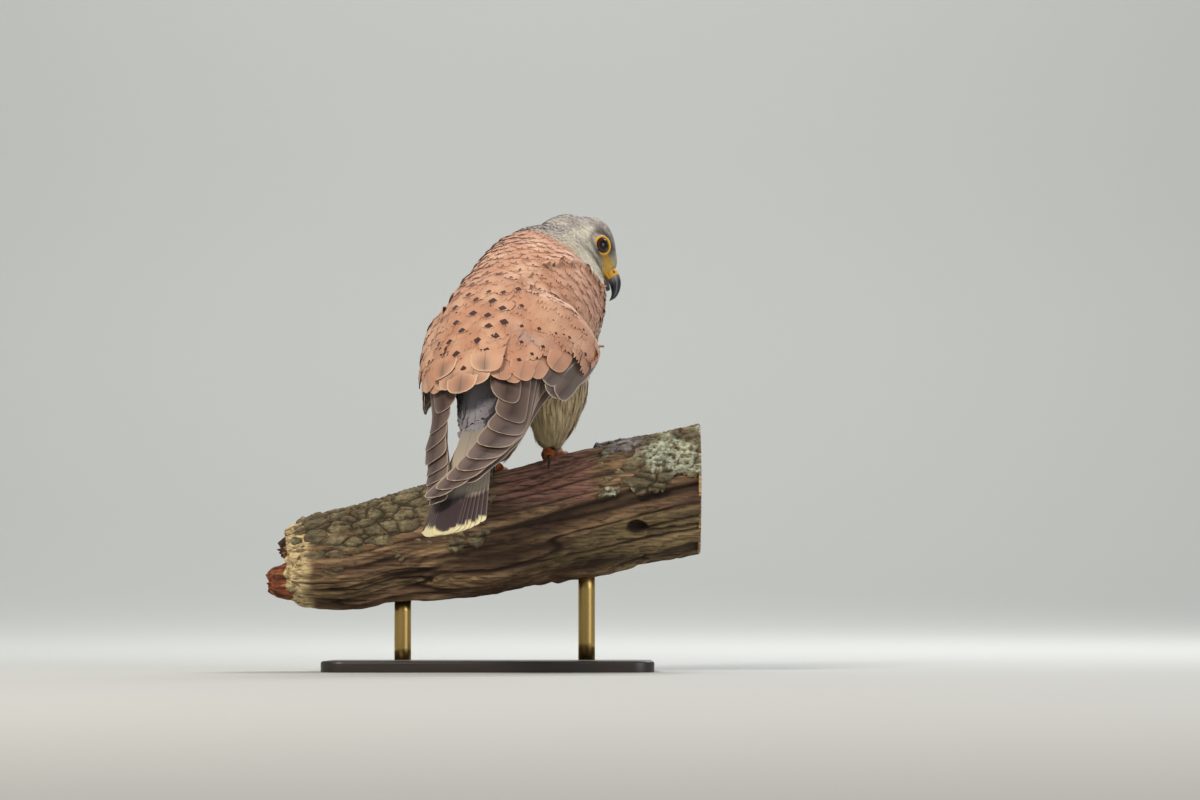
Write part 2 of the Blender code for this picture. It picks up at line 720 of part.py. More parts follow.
def perch_point(x, angle, height=0.0):
    """A place on the branch: along X, and round it from the top towards the far side."""
    middle, high, deep = (float(smooth_through(PERCH_KEYS, v, x)[0])
                          for v in (PERCH_MID, PERCH_HIGH, PERCH_DEEP))
    rough = 1 + 0.022 * math.sin(3 * angle + 0.045 * x) + 0.014 * math.sin(7 * angle - 0.07 * x)
    return np.array((x, (deep * rough + height) * math.sin(angle),
                     middle + (high * rough + height) * math.cos(angle)))


def bark_plate(name, x_from, x_to, near, far, wave, collection, room=0.0):
    """A plate of bark over the branch, from an edge on the near side to one on the far side.

    With room it is the space that the wood leaves for the plate, open to the outside.
    """
    rings = []
    share = room / min(PERCH_DEEP)
    places = [(x, x) for x in np.linspace(x_from, x_to, max(4, int((x_to - x_from) / 18)))]
    if room:
        places = [(x_from - room, x_from)] + places + [(x_to + room, x_to)]
    for x, like in places:
        low = near + 0.09 * math.sin(0.16 * like + wave) + 0.05 * math.sin(0.41 * like)
        angles = list(np.linspace(low, far, 9))
        if room:
            angles = [low - share] + angles + [far + share]
        top = BARK_THICK * 2 if room else 0.0
        outer = [perch_point(x, a, top + 0.6 * math.sin(5 * a + 0.2 * x)) for a in angles]
        inner = [perch_point(x, a, -BARK_THICK - room) for a in reversed(angles)]
        rings.append(np.array(outer + inner))
    return loft(name, rings, collection, plate=True)


def make_perch(model, cutters):
    rings = []
    for x in np.linspace(PERCH_KEYS[0], PERCH_KEYS[-1], 13):
        angles = np.linspace(0, 2 * math.pi, PERCH_SIDES, endpoint=False)
        rings.append(np.array([perch_point(x, a) for a in angles]))
    wood = loft("perch_wood", rings, model)
    stub = tube("stub", ((-104, -3, 62), (-118, -4, 60), (-128, -5, 58.5), (-132, -5, 58)),
                (11, 10.5, 9, 6), cutters, sides=8)
    lump = tube("lump", ((-104, 2, 80), (-118, 3, 79), (-126, 4, 78)), (10, 8, 5), cutters, sides=7)
    boolean(wood, "UNION", [stub, lump])
    spans = {"perch_bark_left": (-119.0, 4.0, -1.75, 2.2, 0.4),
             "perch_bark_right": (64.0, 126.0, -1.45, 2.0, 2.0)}
    plates = [bark_plate(name, *span, model) for name, span in spans.items()]
    rooms = [bark_plate("room", *span, cutters, GAP) for span in spans.values()]
    boolean(wood, "DIFFERENCE", rooms)
    boolean(wood, "DIFFERENCE", [swollen(plate, GAP, cutters) for plate in plates])
    return {"perch_wood": wood, "perch_bark_left": plates[0], "perch_bark_right": plates[1]}


# Legs: the feathered thigh, then tarsus and toes, then claws
LEGS = {
    "right": dict(foot=(35.0, 0.06), thigh=((42, -2, 186), (40, 0, 169), (37, 1, 153),
                                            (35.6, 1.6, 143.5), (35, 2, 139.5))),
    "left": dict(foot=(2.0, 0.36), thigh=((8, 13, 184), (7, 13, 163), (5, 13, 147),
                                          (3.2, 13, 137), (2.4, 13, 133))),
}
THIGH_RADII = (19, 17.5, 13.5, 8.5, 6.2)
TOES = (("back", -0.35, -1, 17.0), ("inner", 0.95, 1, 21.0), ("middle", 0.42, 1, 27.0),
        ("outer", -0.30, 1, 22.0))


def make_leg(label, torso, perch, model, cutters):
    made = {}
    spec = LEGS[label]
    path = np.array(spec["thigh"], float)
    thigh = tube("thigh_" + label, path, THIGH_RADII, model, sides=14)
    boolean(thigh, "DIFFERENCE", [swollen(torso, GAP, cutters)])
    made["thigh_" + label] = thigh
    x, lean = spec["foot"]
    sole = perch_point(x, lean, 2.6)
    ankle = path[-1] - (0, 0, GAP + 0.2)
    foot = tube("foot_" + label, (ankle, ankle * 0.45 + sole * 0.55, sole), (4.0, 3.0, 3.6), model,
                sides=10)
    toes = []
    for toe, turn, way, reach in TOES:
        start_x = x + 3.0 * math.sin(turn) * way
        heading = (0.31 + 0.8 * math.sin(turn)) * way
        steps = np.linspace(0, 1, 5)
        radius = float(smooth_through(PERCH_KEYS, PERCH_DEEP, x)[0])
        path, radii = [], []
        for t in steps:
            along = reach * t
            angle = lean + way * math.cos(turn * 0.7) * along / radius
            knuckle = 0.35 * math.cos(6 * math.pi * t)
            path.append(perch_point(start_x + heading * along * 0.55, angle, 1.9))
            radii.append(TOE_RADIUS * (1.08 - 0.25 * t) + knuckle)
        toes.append(tube("toe", path, radii, cutters, sides=7))
        last, before = path[-1], path[-2]
        ahead = (last - before) / np.linalg.norm(last - before)
        out = perch_point(start_x + heading * reach * 0.55, lean + way * math.cos(turn * 0.7)
                          * reach / radius, 6.0) - last
        out /= np.linalg.norm(out)
        bend = []
        for t in np.linspace(0, 1, 4):
            lift = 1.1 * math.sin(math.pi * min(1.0, t * 1.15)) - 1.2 * t
            bend.append(last + ahead * (GAP + CLAW_LENGTH * t) + out * lift
                        + (0.0, 0.0, -2.2 * t * t))
        claw = tube(f"foot_{label}_claw_{toe}", bend, (1.55, 1.3, 0.85, 0.2), model, sides=6)
        made[claw.name] = claw
    boolean(foot, "UNION", toes)
    cutter_names = ("perch_wood", "perch_bark_left")
    boolean(foot, "DIFFERENCE", [swollen(perch[name], GAP, cutters) for name in cutter_names]
            + [swollen(thigh, GAP, cutters)])
    for name, piece in made.items():
        if "claw" in name:
            boolean(piece, "DIFFERENCE", [swollen(perch[n], GAP, cutters) for n in cutter_names]
                    + [swollen(foot, GAP, cutters)])
    made["foot_" + label] = foot
    return made


def make_stand(perch, model, cutters):
    """A flat base with eased edges, and two short rods up to the branch."""
    made = {}
    shape = bmesh.new()
    bmesh.ops.create_cube(shape, size=1.0)
    size = Vector(BASE_SIZE) * MM
    bmesh.ops.scale(shape, vec=size, verts=shape.verts)
    bmesh.ops.translate(shape, vec=(0, 0, size.z / 2), verts=shape.verts)
    upright = [e for e in shape.edges if abs((e.verts[0].co - e.verts[1].co).z) > size.z / 2]
    bmesh.ops.bevel(shape, geom=upright, offset=14 * MM, segments=4, profile=0.5, affect="EDGES")
    mesh = bpy.data.meshes.new("stand_base")
    shape.to_mesh(mesh)
    shape.free()
    base = bpy.data.objects.new("stand_base", mesh)
    model.objects.link(base)
    edge = base.modifiers.new("eased", "BEVEL")
    edge.width = 1.5 * MM
    edge.segments = 1
    edge.limit_method = "ANGLE"
    made["stand_base"] = base
    for label, x in zip(("left", "right"), ROD_PLACES):
        middle = perch_point(x, math.pi)[2] + 12.0
        low = BASE_SIZE[2] + GAP
        rod = tube("stand_rod_" + label, ((x, 0, low), (x, 0, (low + middle) / 2), (x, 0, middle)),
                   (ROD_RADIUS,) * 3, model, sides=20)
        boolean(rod, "DIFFERENCE", [swollen(perch["perch_wood"], GAP, cutters)])
        made["stand_rod_" + label] = rod
    return made


def dress(objects):
    """Each piece gets its own material in its own colour."""
    colours = {
        "torso": ((0.53, 0.25, 0.15), 0.8), "neck": ((0.53, 0.27, 0.18), 0.8),
        "head": ((0.33, 0.29, 0.26), 0.8), "eye": ((0.01, 0.006, 0.004), 0.08),
        "cere": ((0.68, 0.38, 0.02), 0.4), "bill": ((0.04, 0.04, 0.055), 0.3),
        "wing_": ((0.11, 0.07, 0.055), 0.7), "scapulars": ((0.53, 0.26, 0.16), 0.8), "coverts": ((0.50, 0.24, 0.15), 0.8),
        "tail": ((0.42, 0.37, 0.30), 0.7), "thigh": ((0.50, 0.38, 0.22), 0.85),
        "foot": ((0.33, 0.08, 0.02), 0.5), "claw": ((0.015, 0.012, 0.012), 0.3),
        "perch_wood": ((0.17, 0.12, 0.07), 0.9), "perch_bark": ((0.11, 0.09, 0.06), 0.95),
        "stand_base": ((0.02, 0.02, 0.022), 0.4), "stand_rod": ((0.45, 0.38, 0.25), 0.3),
    }
    for piece in objects:
        chosen = [key for key in colours if key in piece.name]
        colour, roughness = colours[max(chosen, key=piece.name.find)]
        metal = 1.0 if "rod" in piece.name else 0.0
        piece.data.materials.clear()
        piece.data.materials.append(finish_material(piece.name + "_finish", colour, roughness, metal))


def seat(objects, frame, collection):
    """Hangs each piece on its frame's empty, with its own origin at the piece's middle."""
    holder = bpy.data.objects.new(frame.name, None)
    holder.location = Vector(frame.origin) * MM
    holder.empty_display_size = 0.02
    collection.objects.link(holder)
    for piece in objects:
        corners = [Vector(c) for c in piece.bound_box]
        middle = sum(corners, Vector()) / 8
        piece.data.transform(piece.matrix_world.Translation(-middle))
        piece.location = middle - holder.location
        piece.parent = holder


def main():
    clear_scene()
    model = new_collection(OBJECT_NAME)
    cutters = new_collection("cutters", hidden=True)
    torso, neck, head = part_flesh(make_flesh(cutters), model, cutters)
    head_parts = make_head(head, model, cutters)
    body_parts = {"torso": torso, "neck": neck, "tail": make_tail(model, cutters)}
    for label, sheet in (("right", RIGHT_WING), ("left", LEFT_WING)):
        for group, piece in make_wing(label, sheet, torso, model, cutters).items():
            body_parts["wing_" + label + "_" + group] = piece
    body_parts["scapulars"] = make_scapulars(body_parts, model, cutters)
    perch = make_perch(model, cutters)
    for label in LEGS:
        body_parts.update(make_leg(label, torso, perch, model, cutters))
    stand = make_stand(perch, model, cutters)
    groups = ((BODY, body_parts), (HEAD, {"head": head, **head_parts}), (WORLD, {**perch, **stand}))
    for frame, pieces in groups:
        for name, piece in pieces.items():
            piece.name = name
        dress(pieces.values())
        seat(pieces.values(), frame, model)


main()
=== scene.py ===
import itertools
import math

import bmesh
import bpy
import numpy as np
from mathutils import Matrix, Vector
from mathutils.bvhtree import BVHTree


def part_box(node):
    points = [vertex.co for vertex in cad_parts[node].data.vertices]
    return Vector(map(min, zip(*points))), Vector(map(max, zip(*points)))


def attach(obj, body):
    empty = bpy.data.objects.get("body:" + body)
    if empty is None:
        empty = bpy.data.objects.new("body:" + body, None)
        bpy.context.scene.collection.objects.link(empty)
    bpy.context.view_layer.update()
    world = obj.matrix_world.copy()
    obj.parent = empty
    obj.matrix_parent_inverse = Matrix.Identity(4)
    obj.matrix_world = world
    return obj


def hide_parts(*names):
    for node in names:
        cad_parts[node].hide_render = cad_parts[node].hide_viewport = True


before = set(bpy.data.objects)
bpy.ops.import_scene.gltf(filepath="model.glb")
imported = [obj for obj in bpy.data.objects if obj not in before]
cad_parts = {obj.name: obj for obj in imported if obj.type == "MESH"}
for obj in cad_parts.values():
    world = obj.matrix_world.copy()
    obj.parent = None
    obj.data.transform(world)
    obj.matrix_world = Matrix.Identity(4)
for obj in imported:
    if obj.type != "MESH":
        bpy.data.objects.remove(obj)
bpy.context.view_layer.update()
MM = 0.001


# The bird's skin, thin and soft, which every small feather is rooted in. It is the flesh of the
# solids made one surface from bill to tail, drawn in by the depth of the coat. The bird leans
# along the branch and looks back over its right shoulder, so body and head have own directions.


class Place:
    """A frame in millimetres: right, forward and up of the body or of the head."""

    def __init__(self, origin, right, forward, up):
        self.origin = np.array(origin, float)
        self.axes = np.array([right, forward, up], float)
        self.axes /= np.linalg.norm(self.axes, axis=1, keepdims=True)
        self.back = np.linalg.inv(self.axes)

    def out(self, points):
        """From the frame into the world."""
        return self.origin + np.asarray(points, float) @ self.axes

    def into(self, points):
        """From the world into the frame."""
        return (np.asarray(points, float) - self.origin) @ self.back


BODY = Place((20, -5, 213), (0.88, -0.4304, 0.1877), (0.235, 0.7305, 0.641),
             (-0.413, -0.5197, 0.744))
HEAD = Place((61.5, 53, 261.5), (0.32, -0.91, 0.27), (0.64, 0.0, -0.77), (0.69, 0.42, 0.58))


def unit(vectors):
    """The same directions, one long."""
    return vectors / np.maximum(np.linalg.norm(vectors, axis=-1, keepdims=True), 1e-9)


def ease(low, high, value):
    """From 0 to 1 as the value goes from low to high, with soft ends."""
    t = np.clip((np.asarray(value, float) - low) / (high - low), 0.0, 1.0)
    return t * t * (3 - 2 * t)


def smooth_through(keys, values, wanted):
    """Values at the wanted keys, on a smooth curve through the given ones."""
    keys, values = np.asarray(keys, float), np.asarray(values, float)
    if keys[0] > keys[-1]:
        keys, values = keys[::-1], values[::-1]
    slope = np.gradient(values, keys, axis=0)
    wanted = np.clip(np.atleast_1d(wanted), keys[0], keys[-1])
    at = np.clip(np.searchsorted(keys, wanted, side="right") - 1, 0, len(keys) - 2)
    span = keys[at + 1] - keys[at]
    t = (wanted - keys[at]) / span
    column = (-1,) + (1,) * (values.ndim - 1)
    t, span = t.reshape(column), span.reshape(column)
    return ((2 * t**3 - 3 * t**2 + 1) * values[at] + (t**3 - 2 * t**2 + t) * span * slope[at]
            + (3 * t**2 - 2 * t**3) * values[at + 1] + (t**3 - t**2) * span * slope[at + 1])


def cloud(points, grain, seed):
    """Soft random values from 0 to 1 through space, in lumps of about grain millimetres."""
    lattice = np.random.default_rng(seed).random((32, 32, 32))
    p = np.asarray(points, float) / grain + 1000.0
    cell = np.floor(p).astype(int)
    t = p - cell
    t = t * t * (3 - 2 * t)
    total = 0.0
    for step in itertools.product((0, 1), repeat=3):
        share = np.prod(np.abs(1 - np.array(step) - t), axis=-1)
        c = (cell + step) % 32
        total = total + share * lattice[c[..., 0], c[..., 1], c[..., 2]]
    return total


class Sheet:
    """The outer face of a folded wing, between a lower and an upper border."""

    def __init__(self, hand, keys, low, top, bulge):
        self.hand, self.keys, self.low, self.top, self.bulge = hand, keys, low, top, bulge

    def flat(self, f, share):
        """Places on the face: along the body, and a share of the way from border to border."""
        low, top = smooth_through(self.keys, self.low, f), smooth_through(self.keys, self.top, f)
        chord = top - low
        out = self.hand * unit(np.stack([chord[:, 1], -chord[:, 0]], axis=1))
        swell = smooth_through(self.keys, self.bulge, f)
        place = low + chord * share[:, None] + out * (swell * 4 * share * (1 - share))[:, None]
        return np.stack([place[:, 0], f, place[:, 1]], axis=1)

    def width(self, f):
        """The face's girth from border to border."""
        low, top = smooth_through(self.keys, self.low, f), smooth_through(self.keys, self.top, f)
        return np.linalg.norm(top - low, axis=1) + 1.3 * smooth_through(self.keys, self.bulge, f)

    def point(self, f, share, height):
        """Places at a height over the face."""
        along = self.flat(f - 1.0, share) - self.flat(f + 1.0, share)
        across = self.flat(f, share + 0.02) - self.flat(f, share - 0.02)
        return self.flat(f, share) + self.hand * unit(np.cross(across, along)) * height[:, None]


WING_TIP = -187.0
SHEET_KEYS = (50, 15, -15, -41, -74, -105, -130, -152, WING_TIP)
BULGE = (9, 16, 19, 16, 9, 4, 3, 2, 1)
WINGS = {
    "right": Sheet(1, SHEET_KEYS,
                   ((34, -22), (50, -24), (55, -23), (54, -20), (44, -12), (37, -7), (34, 3),
                    (30, 9), (14, 11.5)),
                   ((24, 29), (14, 42), (9, 46), (8, 42), (10, 34), (14, 22), (5, 20), (-5, 18.5),
                    (-16, 16.5)), BULGE),
    "left": Sheet(-1, SHEET_KEYS,
                  ((-34, -22), (-50, -23), (-55, -17), (-54, -6), (-47, 2), (-36, 5), (-25, 7),
                   (-15, 9), (-4, 9)),
                  ((-24, 29), (-14, 42), (-9, 46), (-8, 42), (-9, 34), (-5, 19), (0, 13), (4, 11),
                   (7, 10)), BULGE)}
SCAPULAR_KEYS = (-4, -22, -34, -45, -60, -75, -90, -104)
SCAPULAR_RISE = (47.6, 47.1, 46.8, 45.6, 42.5, 37.8, 31.7, 26.6)


def scapular_point(f, x, height):
    """A place on the long arch of the scapulars over the middle of the back."""
    rise = smooth_through(SCAPULAR_KEYS, SCAPULAR_RISE, f)
    return np.stack([x, f, rise - 0.0075 * x * x - 0.055 * x + height], axis=1)


def slab(whole, top, low):
    """A closed slab between two grids of places."""
    rows, columns = top.shape[:2]
    sides = [[[whole.verts.new(Vector(p * MM)) for p in line] for line in grid]
             for grid in (top, low)]
    for k, c in itertools.product(range(rows - 1), range(columns - 1)):
        for side in sides:
            whole.faces.new((side[k][c], side[k + 1][c], side[k + 1][c + 1], side[k][c + 1]))
    rim = ([(0, c) for c in range(columns)] + [(k, columns - 1) for k in range(1, rows)]
           + [(rows - 1, c) for c in range(columns - 2, -1, -1)]
           + [(k, 0) for k in range(rows - 2, 0, -1)])
    for (k, c), (m, d) in zip(rim, rim[1:] + rim[:1]):
        whole.faces.new((sides[0][k][c], sides[0][m][d], sides[1][m][d], sides[1][k][c]))


BED_FRONT, BED_THICK, ARM_CUT = -14, 5.0, -34


def covert_beds(whole):
    """Where the small coverts and scapulars hide the roots of the long feathers."""
    s, share = np.meshgrid(np.linspace(0, 1, 18), np.linspace(0.06, 0.93, 20), indexing="ij")
    end = np.interp(share, (0.06, 0.2, 0.28, 0.34, 0.46, 0.59, 0.72, 0.93),
                    (-46, -48, -52, -57, -69, -76, -80, -81))
    f = BED_FRONT + (end - BED_FRONT) * s
    sink = 6.5 * ease(-31, BED_FRONT, f) + 1.5 * ease(0.14, 0.06, share)
    for sheet in WINGS.values():
        top, low = (BODY.out(sheet.point(f.ravel(), share.ravel(), (height - sink).ravel()))
                    .reshape(f.shape + (3,)) for height in (-0.2, -0.2 - BED_THICK))
        slab(whole, top, low)
    s, side = np.meshgrid(np.linspace(0, 1, 18), np.linspace(-1, 1, 16), indexing="ij")
    rear = np.interp(np.abs(side), (0, 0.3, 0.6, 0.9, 1), (-89, -85, -77, -67, -63))
    f = -8 + (rear + 8) * s
    x = side * np.interp(-f, (8, 55, 72, 92), (26, 28, 25, 12))
    sink = 3 * np.maximum(0, (f + 22) / 17) ** 1.5 + 3.0 * ease(0.65, 1.0, np.abs(side))
    top, low = (BODY.out(scapular_point(f.ravel(), x.ravel(), (height - sink).ravel()))
                .reshape(f.shape + (3,)) for height in (-0.2, -5.4))
    slab(whole, top, low)


# The rump carries on in a cone over the roots of the tail: keys along the body, then half
# width, top and underside
RUMP_KEYS = (-40, -58, -72, -84, -96, -108, -118)
RUMP_SIZES = ((40, 40, -33), (34, 33, -22), (20.5, 24, -10.5), (17, 18, -5.5), (13.5, 13, -2),
              (10, 9, 0.5), (6, 6.6, 2.8))
TAIL_START, TAIL_END = -70.0, -207.0


def tail_lean(f):
    """How far the tail swings towards the bird's right at each place along it."""
    return 9.0 * np.maximum(0.0, (TAIL_START - f) / (TAIL_START - TAIL_END)) ** 1.3


def around(count):
    """Evenly spaced angles, once round."""
    return np.linspace(0, 2 * math.pi, count, endpoint=False)


def tail_root(whole):
    """The cone of the rump, closed at both ends."""
    sides = 20
    turn = around(sides)
    rings = []
    for f, (wide, top, low) in list(zip(RUMP_KEYS, RUMP_SIZES))[1:]:
        ring = np.stack([tail_lean(f) + wide * np.cos(turn), np.full(sides, f),
                         (top + low) / 2 + (top - low) / 2 * np.sin(turn)], axis=1)
        rings.append([whole.verts.new(Vector(p * MM)) for p in BODY.out(ring)])
    for near, far in zip(rings, rings[1:]):
        for k in range(sides):
            whole.faces.new((near[k], near[(k + 1) % sides], far[(k + 1) % sides], far[k]))
    whole.faces.new(rings[0][::-1])
    whole.faces.new(rings[-1])


SKIN_GRAIN, COAT_DEPTH, HEAD_COAT_DEPTH = 1.25, 1.7, 0.7
whole = bmesh.new()
for name in ("torso", "neck", "head", "thigh_left", "thigh_right"):
    whole.from_mesh(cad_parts[name].data)
for name in ("wing_left_coverts", "wing_right_coverts"):
    arm = bmesh.new()
    arm.from_mesh(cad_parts[name].data)
    bmesh.ops.bisect_plane(arm, geom=arm.verts[:] + arm.edges[:] + arm.faces[:],
                           plane_co=BODY.out((0, ARM_CUT, 0)) * MM, plane_no=-BODY.axes[1],
                           clear_outer=True)
    bmesh.ops.holes_fill(arm, edges=[e for e in arm.edges if e.is_boundary], sides=0)
    part = bpy.data.meshes.new("arm")
    arm.to_mesh(part)
    arm.free()
    whole.from_mesh(part)
    bpy.data.meshes.remove(part)
covert_beds(whole)
tail_root(whole)
bmesh.ops.recalc_face_normals(whole, faces=whole.faces[:])
rough = bpy.data.meshes.new("rough")
whole.to_mesh(rough)
whole.free()


def put(name, data):
    """An object made of the data, in the scene."""
    made = bpy.data.objects.new(name, data)
    bpy.context.scene.collection.objects.link(made)
    return made


rough_object = put("rough", rough)
remesh = rough_object.modifiers.new("one", "REMESH")
remesh.mode = "VOXEL"
remesh.voxel_size = SKIN_GRAIN * MM
soften = rough_object.modifiers.new("soft", "SMOOTH")
soften.factor = 0.6
soften.iterations = 9
done = bpy.data.meshes.new_from_object(
    rough_object.evaluated_get(bpy.context.evaluated_depsgraph_get()))
bpy.data.objects.remove(rough_object, do_unlink=True)


def read(data, name, width):
    """A row of numbers for each item of a mesh's own list."""
    values = np.empty(len(data) * width)
    data.foreach_get(name, values)
    return values.reshape(-1, width)


skin_points = read(done.vertices, "co", 3) / MM
skin_normals = read(done.vertices, "normal", 3)
skin_faces = np.array([p.vertices[:] for p in done.polygons if len(p.vertices) == 4])
bpy.data.meshes.remove(done)
# The remesh leaves loose crumbs at thin edges, so only the largest island is kept
island = np.arange(len(skin_points))
while True:
    lowest = island.copy()
    for corner in skin_faces.T:
        np.minimum.at(lowest, corner, island[skin_faces].min(axis=1))
    lowest = lowest[lowest]
    if np.array_equal(lowest, island):
        break
    island = lowest
body = island == np.bincount(island).argmax()
skin_faces = (np.cumsum(body) - 1)[skin_faces[body[skin_faces[:, 0]]]]
skin_points, skin_normals = skin_points[body], skin_normals[body]
NECK_NORMAL = unit(np.array((0.50, 0.25, 0.83)))
NECK_POINT = np.array((42.0, 48.0, 246.0))
head_part = ease(-6, 6, (skin_points - NECK_POINT) @ NECK_NORMAL)
nape = np.exp(-(np.linalg.norm(skin_points - (48, 42, 277), axis=1) / 10) ** 2)
depth = COAT_DEPTH + (HEAD_COAT_DEPTH - COAT_DEPTH) * head_part - 1.8 * nape
skin_points = skin_points - skin_normals * depth[:, None]


def linear(code):
    """An sRGB hex colour as linear red, green and blue, and one for alpha."""
    parts = [int(code[k:k + 2], 16) / 255 for k in (1, 3, 5)]
    return [c / 12.92 if c <= 0.04045 else ((c + 0.055) / 1.055) ** 2.4 for c in parts] + [1.0]


def blend(colours, code, share):
    """Rows of colour, taken towards one hex colour by a share for each row."""
    return colours + (np.array(linear(code)[:3]) - colours) * np.asarray(share)[:, None]


def plain(code, count):
    """Rows of one hex colour."""
    return np.tile(linear(code)[:3], (count, 1))


def head_share(points):
    """One on the grey head, none on the chestnut neck, with an uneven border."""
    off = (points - NECK_POINT) @ NECK_NORMAL
    off = off - 1.5 + 4.5 * ease(45, 60, points[:, 0]) + 3.0 * (cloud(points, 4.0, 3) - 0.5)
    return ease(-1.6, 1.6, off)


def head_colours(points):
    """Grey crown, painted shadow over the eye, dark moustache, pale streaked cheek, yellowish in
    front of the eye.
    """
    side, ahead, high = np.abs(HEAD.into(points)[:, 0]), *HEAD.into(points)[:, 1:].T
    fine, lump = cloud(points, 2.2, 22), cloud(points, 5.0, 21)
    colour = plain("#A0968E", len(points))
    colour = blend(colour, "#C6BDB0", 0.5 * ease(0.4, 0.8, lump))
    colour = blend(colour, "#78706A", 0.5 * ease(0.5, 0.9, fine))
    cheek = ease(2, -4, high) * ease(-20, -12, ahead) * ease(3, 8, side)
    colour = blend(colour, "#C9C0A4", 0.85 * cheek * (0.6 + 0.4 * fine))
    behind = ease(7.0, 3.0, np.hypot(ahead + 9.5, high + 1.5)) * ease(5, 9, side)
    colour = blend(colour, "#E4DEC8", 0.7 * behind)
    malar = np.exp(-((ahead - 3.2 + 0.25 * (high + 10)) / 2.6) ** 2) * ease(-3.5, -6.5, high)
    colour = blend(colour, "#4C453F", 0.95 * malar * ease(-17, -13.5, high) * ease(3, 6, side))
    # Painted shadow: a dark stripe above the eye, where the crown's edge overhangs it
    brow_shadow = np.exp(-((high - 7.6) / 2.0) ** 2) * np.exp(-((ahead - 1) / 9.0) ** 2)
    colour = blend(colour, "#3A322D", 0.95 * (brow_shadow * ease(4, 8, side)))
    around = np.exp(-((np.hypot(ahead - 0.5, high - 0.5) - 8.2) / 1.6) ** 2) * ease(5, 8, side)
    colour = blend(colour, "#4E463F", 0.75 * around)
    colour = blend(colour, "#BDB48C", 0.85 * ease(8.0, 13.0, ahead) * ease(-9, -2, high))
    lore = ease(5.0, 9.0, ahead) * ease(3.5, 6.0, side) * ease(3.0, 0.0, high) * ease(-8, -5, high)
    colour = blend(colour, "#E0A81E", 0.95 * lore * (0.6 + 0.4 * lump))
    return blend(colour, "#E2DAC2", 0.85 * ease(-8, -12, high) * ease(-4, 6, ahead))


def plumage(points):
    """An adult male: grey head, chestnut back, cream below, grey rump and buff thighs."""
    r, f, u = BODY.into(points).T
    lump = cloud(points, 9.0, 11)
    colour = plain("#C18E71", len(points))
    colour = blend(colour, "#D2A688", ease(0.35, 0.85, lump))
    colour = blend(colour, "#B07E62", 0.5 * ease(0.55, 0.9, cloud(points, 6.0, 12)))
    colour = blend(colour, "#A5745A", 0.35 * ease(20, 42, f))
    wing = ease(31, 39, np.abs(r)) * ease(-64, -50, f)
    below = ease(-14, -24, u + 0.12 * np.minimum(f, 0) + 3 * (lump - 0.5)) * (1 - wing)
    colour = blend(colour, "#E0D2B4", below)
    colour = blend(colour, "#D2B086", 0.6 * below * lump)
    sizes = np.stack([np.interp(-f, -np.array(RUMP_KEYS, float), column)
                      for column in np.array(RUMP_SIZES, float).T])
    q = (r / sizes[0]) ** 2 + ((u - (sizes[1] + sizes[2]) / 2) / ((sizes[1] - sizes[2]) / 2)) ** 2
    rump = ease(-52, -64, f) * (1 - below) * ease(1.7, 1.3, q - 2.5 * ease(-78, -90, f))
    colour = blend(colour, "#8F8B92", rump)
    colour = blend(colour, "#B9A680", thigh_share(points))
    return colour + (head_colours(points) - colour) * head_share(points)[:, None]


THIGHS = (((42, -2, 186), (35, 2, 139.5)), ((8, 13, 184), (2.4, 13, 133)))


def thigh_share(points):
    """One on the feathered thighs, none elsewhere."""
    near = np.zeros(len(points))
    for top, foot in THIGHS:
        top, foot = np.array(top, float), np.array(foot, float)
        along = np.clip((points - top) @ (foot - top) / ((foot - top) @ (foot - top)), 0, 1)
        gap = np.linalg.norm(points - top - along[:, None] * (foot - top), axis=1)
        near = np.maximum(near, ease(25, 20, gap))
    return near * ease(186, 176, points[:, 2])


def finish(name, **settings):
    """A material with constant settings on its shader: itself, its nodes and the sockets."""
    material = bpy.data.materials.new(name)
    material.use_nodes = True
    sockets = material.node_tree.nodes["Principled BSDF"].inputs
    for key, value in settings.items():
        sockets[key.replace("_", " ")].default_value = value
    return material, material.node_tree, sockets


def add(tree, kind, settings=(), links=()):
    """A node with its settings, by name or socket, and its links: its outputs come back."""
    made = tree.nodes.new("ShaderNode" + kind)
    for key, value in dict(settings).items():
        if isinstance(key, str) and hasattr(made, key):
            setattr(made, key, value)
        else:
            made.inputs[key].default_value = value
    for key, source in dict(links).items():
        tree.links.new(source, made.inputs[key])
    return made.outputs


def tinted(name, **settings):
    """The same, coloured by the Tint painted on its mesh, and the socket of that colour."""
    material, tree, sockets = finish(name, **settings)
    tint = add(tree, "Attribute", {"attribute_name": "Tint"})["Color"]
    tree.links.new(tint, sockets["Base Color"])
    return material, tree, sockets, tint


def shape(name, points, faces, material, nodes, slot):
    """A smooth mesh in metres from points in millimetres, which stands for CAD nodes."""
    mesh = bpy.data.meshes.new(name)
    faces = np.asarray(faces)
    mesh.vertices.add(len(points))
    mesh.vertices.foreach_set("co", (np.asarray(points, float) * MM).astype(np.float32).ravel())
    sizes = np.full(len(faces), faces.shape[1], np.int32)
    mesh.loops.add(faces.size)
    mesh.loops.foreach_set("vertex_index", faces.astype(np.int32).ravel())
    mesh.polygons.add(len(faces))
    mesh.polygons.foreach_set("loop_start", (np.cumsum(sizes) - sizes).astype(np.int32))
    mesh.polygons.foreach_set("loop_total", sizes)
    mesh.update(calc_edges=True)
    mesh.shade_smooth()
    mesh.materials.append(material)
    made = put(name, mesh)
    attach(made, "root")
    if nodes:
        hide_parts(*nodes)
    return made


def paint(made, name, values):
    """A colour for each point of the mesh."""
    values = np.concatenate([values, np.ones((len(values), 1))], axis=1)
    layer = made.data.attributes.new(name, "FLOAT_COLOR", "POINT")
    layer.data.foreach_set("color", values.astype(np.float32).ravel())
